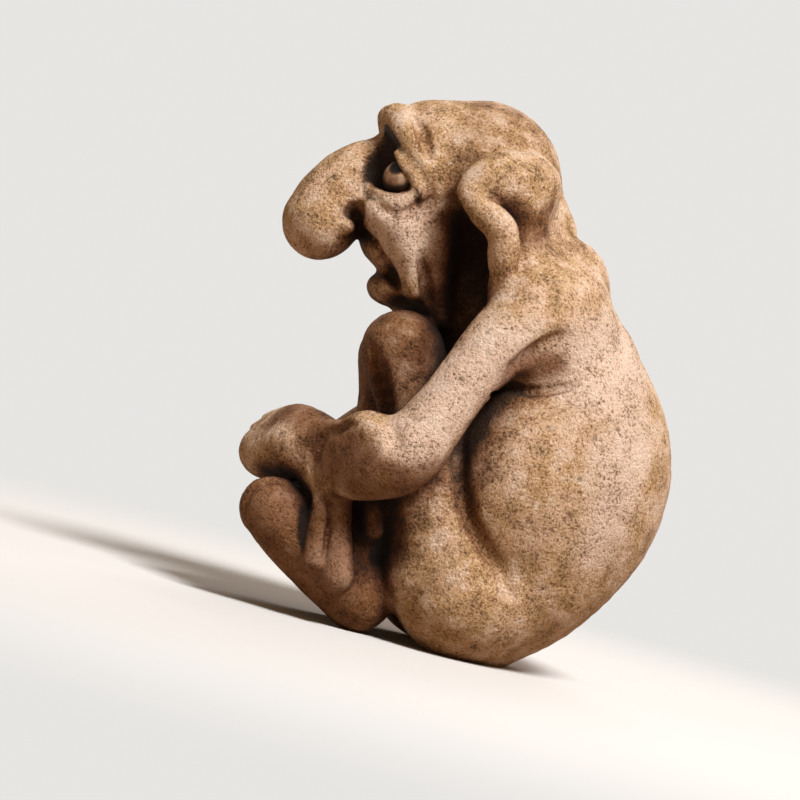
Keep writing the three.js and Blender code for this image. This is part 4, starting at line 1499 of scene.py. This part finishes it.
# %% [markdown]
# ## The steel pins
# Pins of drawn bar hold the castings together and are hidden inside. Their solids are right as they are, so
# they stay and only get a finish on their own slots: grey metal with a fine grain in its colour and its
# gloss.

# %% Pins
STEEL_GRAIN = (0.25, 3, 0.6)
STEEL_DARK = colour(140, 142, 146)
STEEL_PALE = (0.3, 0.7, 1, colour(176, 178, 180))
STEEL_ROUGH, GRAIN_ROUGH = 0.3, 0.25


def steel_finish():
    """Metal whose colour and roughness follow one fine noise."""
    material, wire = new_finish("pin_steel")
    grain = wire.noise(*STEEL_GRAIN)
    finish_with(wire, "ShaderNodeBsdfPrincipled", {
        "Base Color": grain.coat(STEEL_DARK, *STEEL_PALE),
        "Roughness": STEEL_ROUGH + grain * GRAIN_ROUGH,
        "Metallic": 1.0,
    })
    return material


steel = steel_finish()
pins = [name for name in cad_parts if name.endswith("_pin")]
for name in pins:
    for slot in bpy.data.objects[name].material_slots:
        slot.material = steel
print("pins:", len(pins))

# %% [markdown]
# ## Floor and backdrop
# The ground is plain and pale. Under the figure it is a surface that takes a shadow, and further out it
# fades into the backdrop's own colour, so no edge shows. For light on its way to the figure the floor is
# darker and warmer, because the light that a white floor throws back would fill the shadows. A brighter
# lamp would whiten the backdrop too, but it would also burn out the stone.

# %% Floor
PALE = (0.8, 0.785, 0.765, 1)
UNSEEN = (0.3, 0.21, 0.14, 1)
FLOOR_SIZE = 4
FADE = (0.1, 0.3)


def backdrop_share(wire):
    """1 for a ray from the camera, or one that a gloss or glass sends on, and 0 for light on its way."""
    camera, gloss, glass = (
        wire.node("ShaderNodeLightPath", output=kind)
        for kind in ("Is Camera Ray", "Is Glossy Ray", "Is Transmission Ray")
    )
    return wire.math("MAXIMUM", wire.math("MAXIMUM", camera, gloss), glass)


def floor_finish():
    """A mix by the distance from the middle: a surface that takes shadow near it, an even glow far out."""
    material, wire = new_finish("pale_floor")
    place = wire.node("ShaderNodeTexCoord", output="Object")
    off = wire.node("ShaderNodeVectorMath", {"operation": "LENGTH"}, {0: place}, output="Value")
    near = wire.node("ShaderNodeBsdfDiffuse", inputs={"Color": PALE})
    far = wire.node("ShaderNodeEmission", inputs={"Color": PALE, "Strength": 1.0})
    ground = wire.node("ShaderNodeMixShader", inputs={0: off.step(*FADE), 1: near, 2: far})
    unseen = wire.node("ShaderNodeBsdfDiffuse", inputs={"Color": UNSEEN})
    finish_with(wire, "ShaderNodeMixShader", {0: backdrop_share(wire), 1: unseen, 2: ground})
    return material


bpy.ops.mesh.primitive_plane_add(size=FLOOR_SIZE)
floor = bpy.context.object
floor.name = "floor"
floor.data.materials.append(floor_finish())
floor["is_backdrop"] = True
print("floor:", FLOOR_SIZE, "m wide")

# %% [markdown]
# ## Light
# The figure is lit from high up, from the right of the picture and from the viewer's side, and its shadows
# are warm and deep. So there is one key lamp from there, a weak one behind the figure, which only other
# views show, and a low warm world. The plain view transform keeps colours as they are written.

# %% Light
WORLD_LIGHT = (1, 0.68, 0.42, 1)
WORLD_STRENGTH = 0.2
LAMPS = {
    "key": {"place": (0.46, -1.06, 1.46), "energy": 41, "size": 0.6},
    "back": {"place": (0.3, 0.75, 0.5), "energy": 3, "size": 0.5},
}


def make_world():
    """Two backgrounds: the light that falls on the figure, and the pale one that is seen."""
    world = bpy.data.worlds.new("studio")
    world.use_nodes = True
    world.node_tree.nodes.clear()
    wire = Wire(world.node_tree)
    light = wire.node("ShaderNodeBackground", inputs={"Color": WORLD_LIGHT, "Strength": WORLD_STRENGTH})
    view = wire.node("ShaderNodeBackground", inputs={"Color": PALE, "Strength": 1.0})
    both = wire.node("ShaderNodeMixShader", inputs={0: backdrop_share(wire), 1: light, 2: view})
    wire.node("ShaderNodeOutputWorld", inputs={"Surface": both})
    return world


def lamp(name, place, energy, size):
    """A square lamp at a place in metres, turned to the middle of the figure."""
    light = bpy.data.lights.new(name, "AREA")
    light.energy = energy
    light.size = size
    thing = new_object(name, light)
    aim = Vector((0, 0, FIGURE_TOP / 2 * MM))
    thing.location = place
    thing.rotation_euler = (aim - Vector(place)).to_track_quat("-Z", "Y").to_euler()


bpy.context.scene.view_settings.view_transform = "Standard"
bpy.context.scene.world = make_world()
for name, settings in LAMPS.items():
    lamp(name, **settings)
print("lamps:", list(LAMPS))

# %% [markdown]
# ## Size and finish
# The dressed figure passes the box of its solids by less than a millimetre. Both boxes are put in a table
# at the end.

# %% Finish
visual_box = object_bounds()
boxes = {"cad": cad_box, "visual": visual_box}
{name: [list(corner) for corner in box] for name, box in boxes.items()}
print("visual box in mm:", [round(size / MM, 1) for size in visual_box[1] - visual_box[0]])
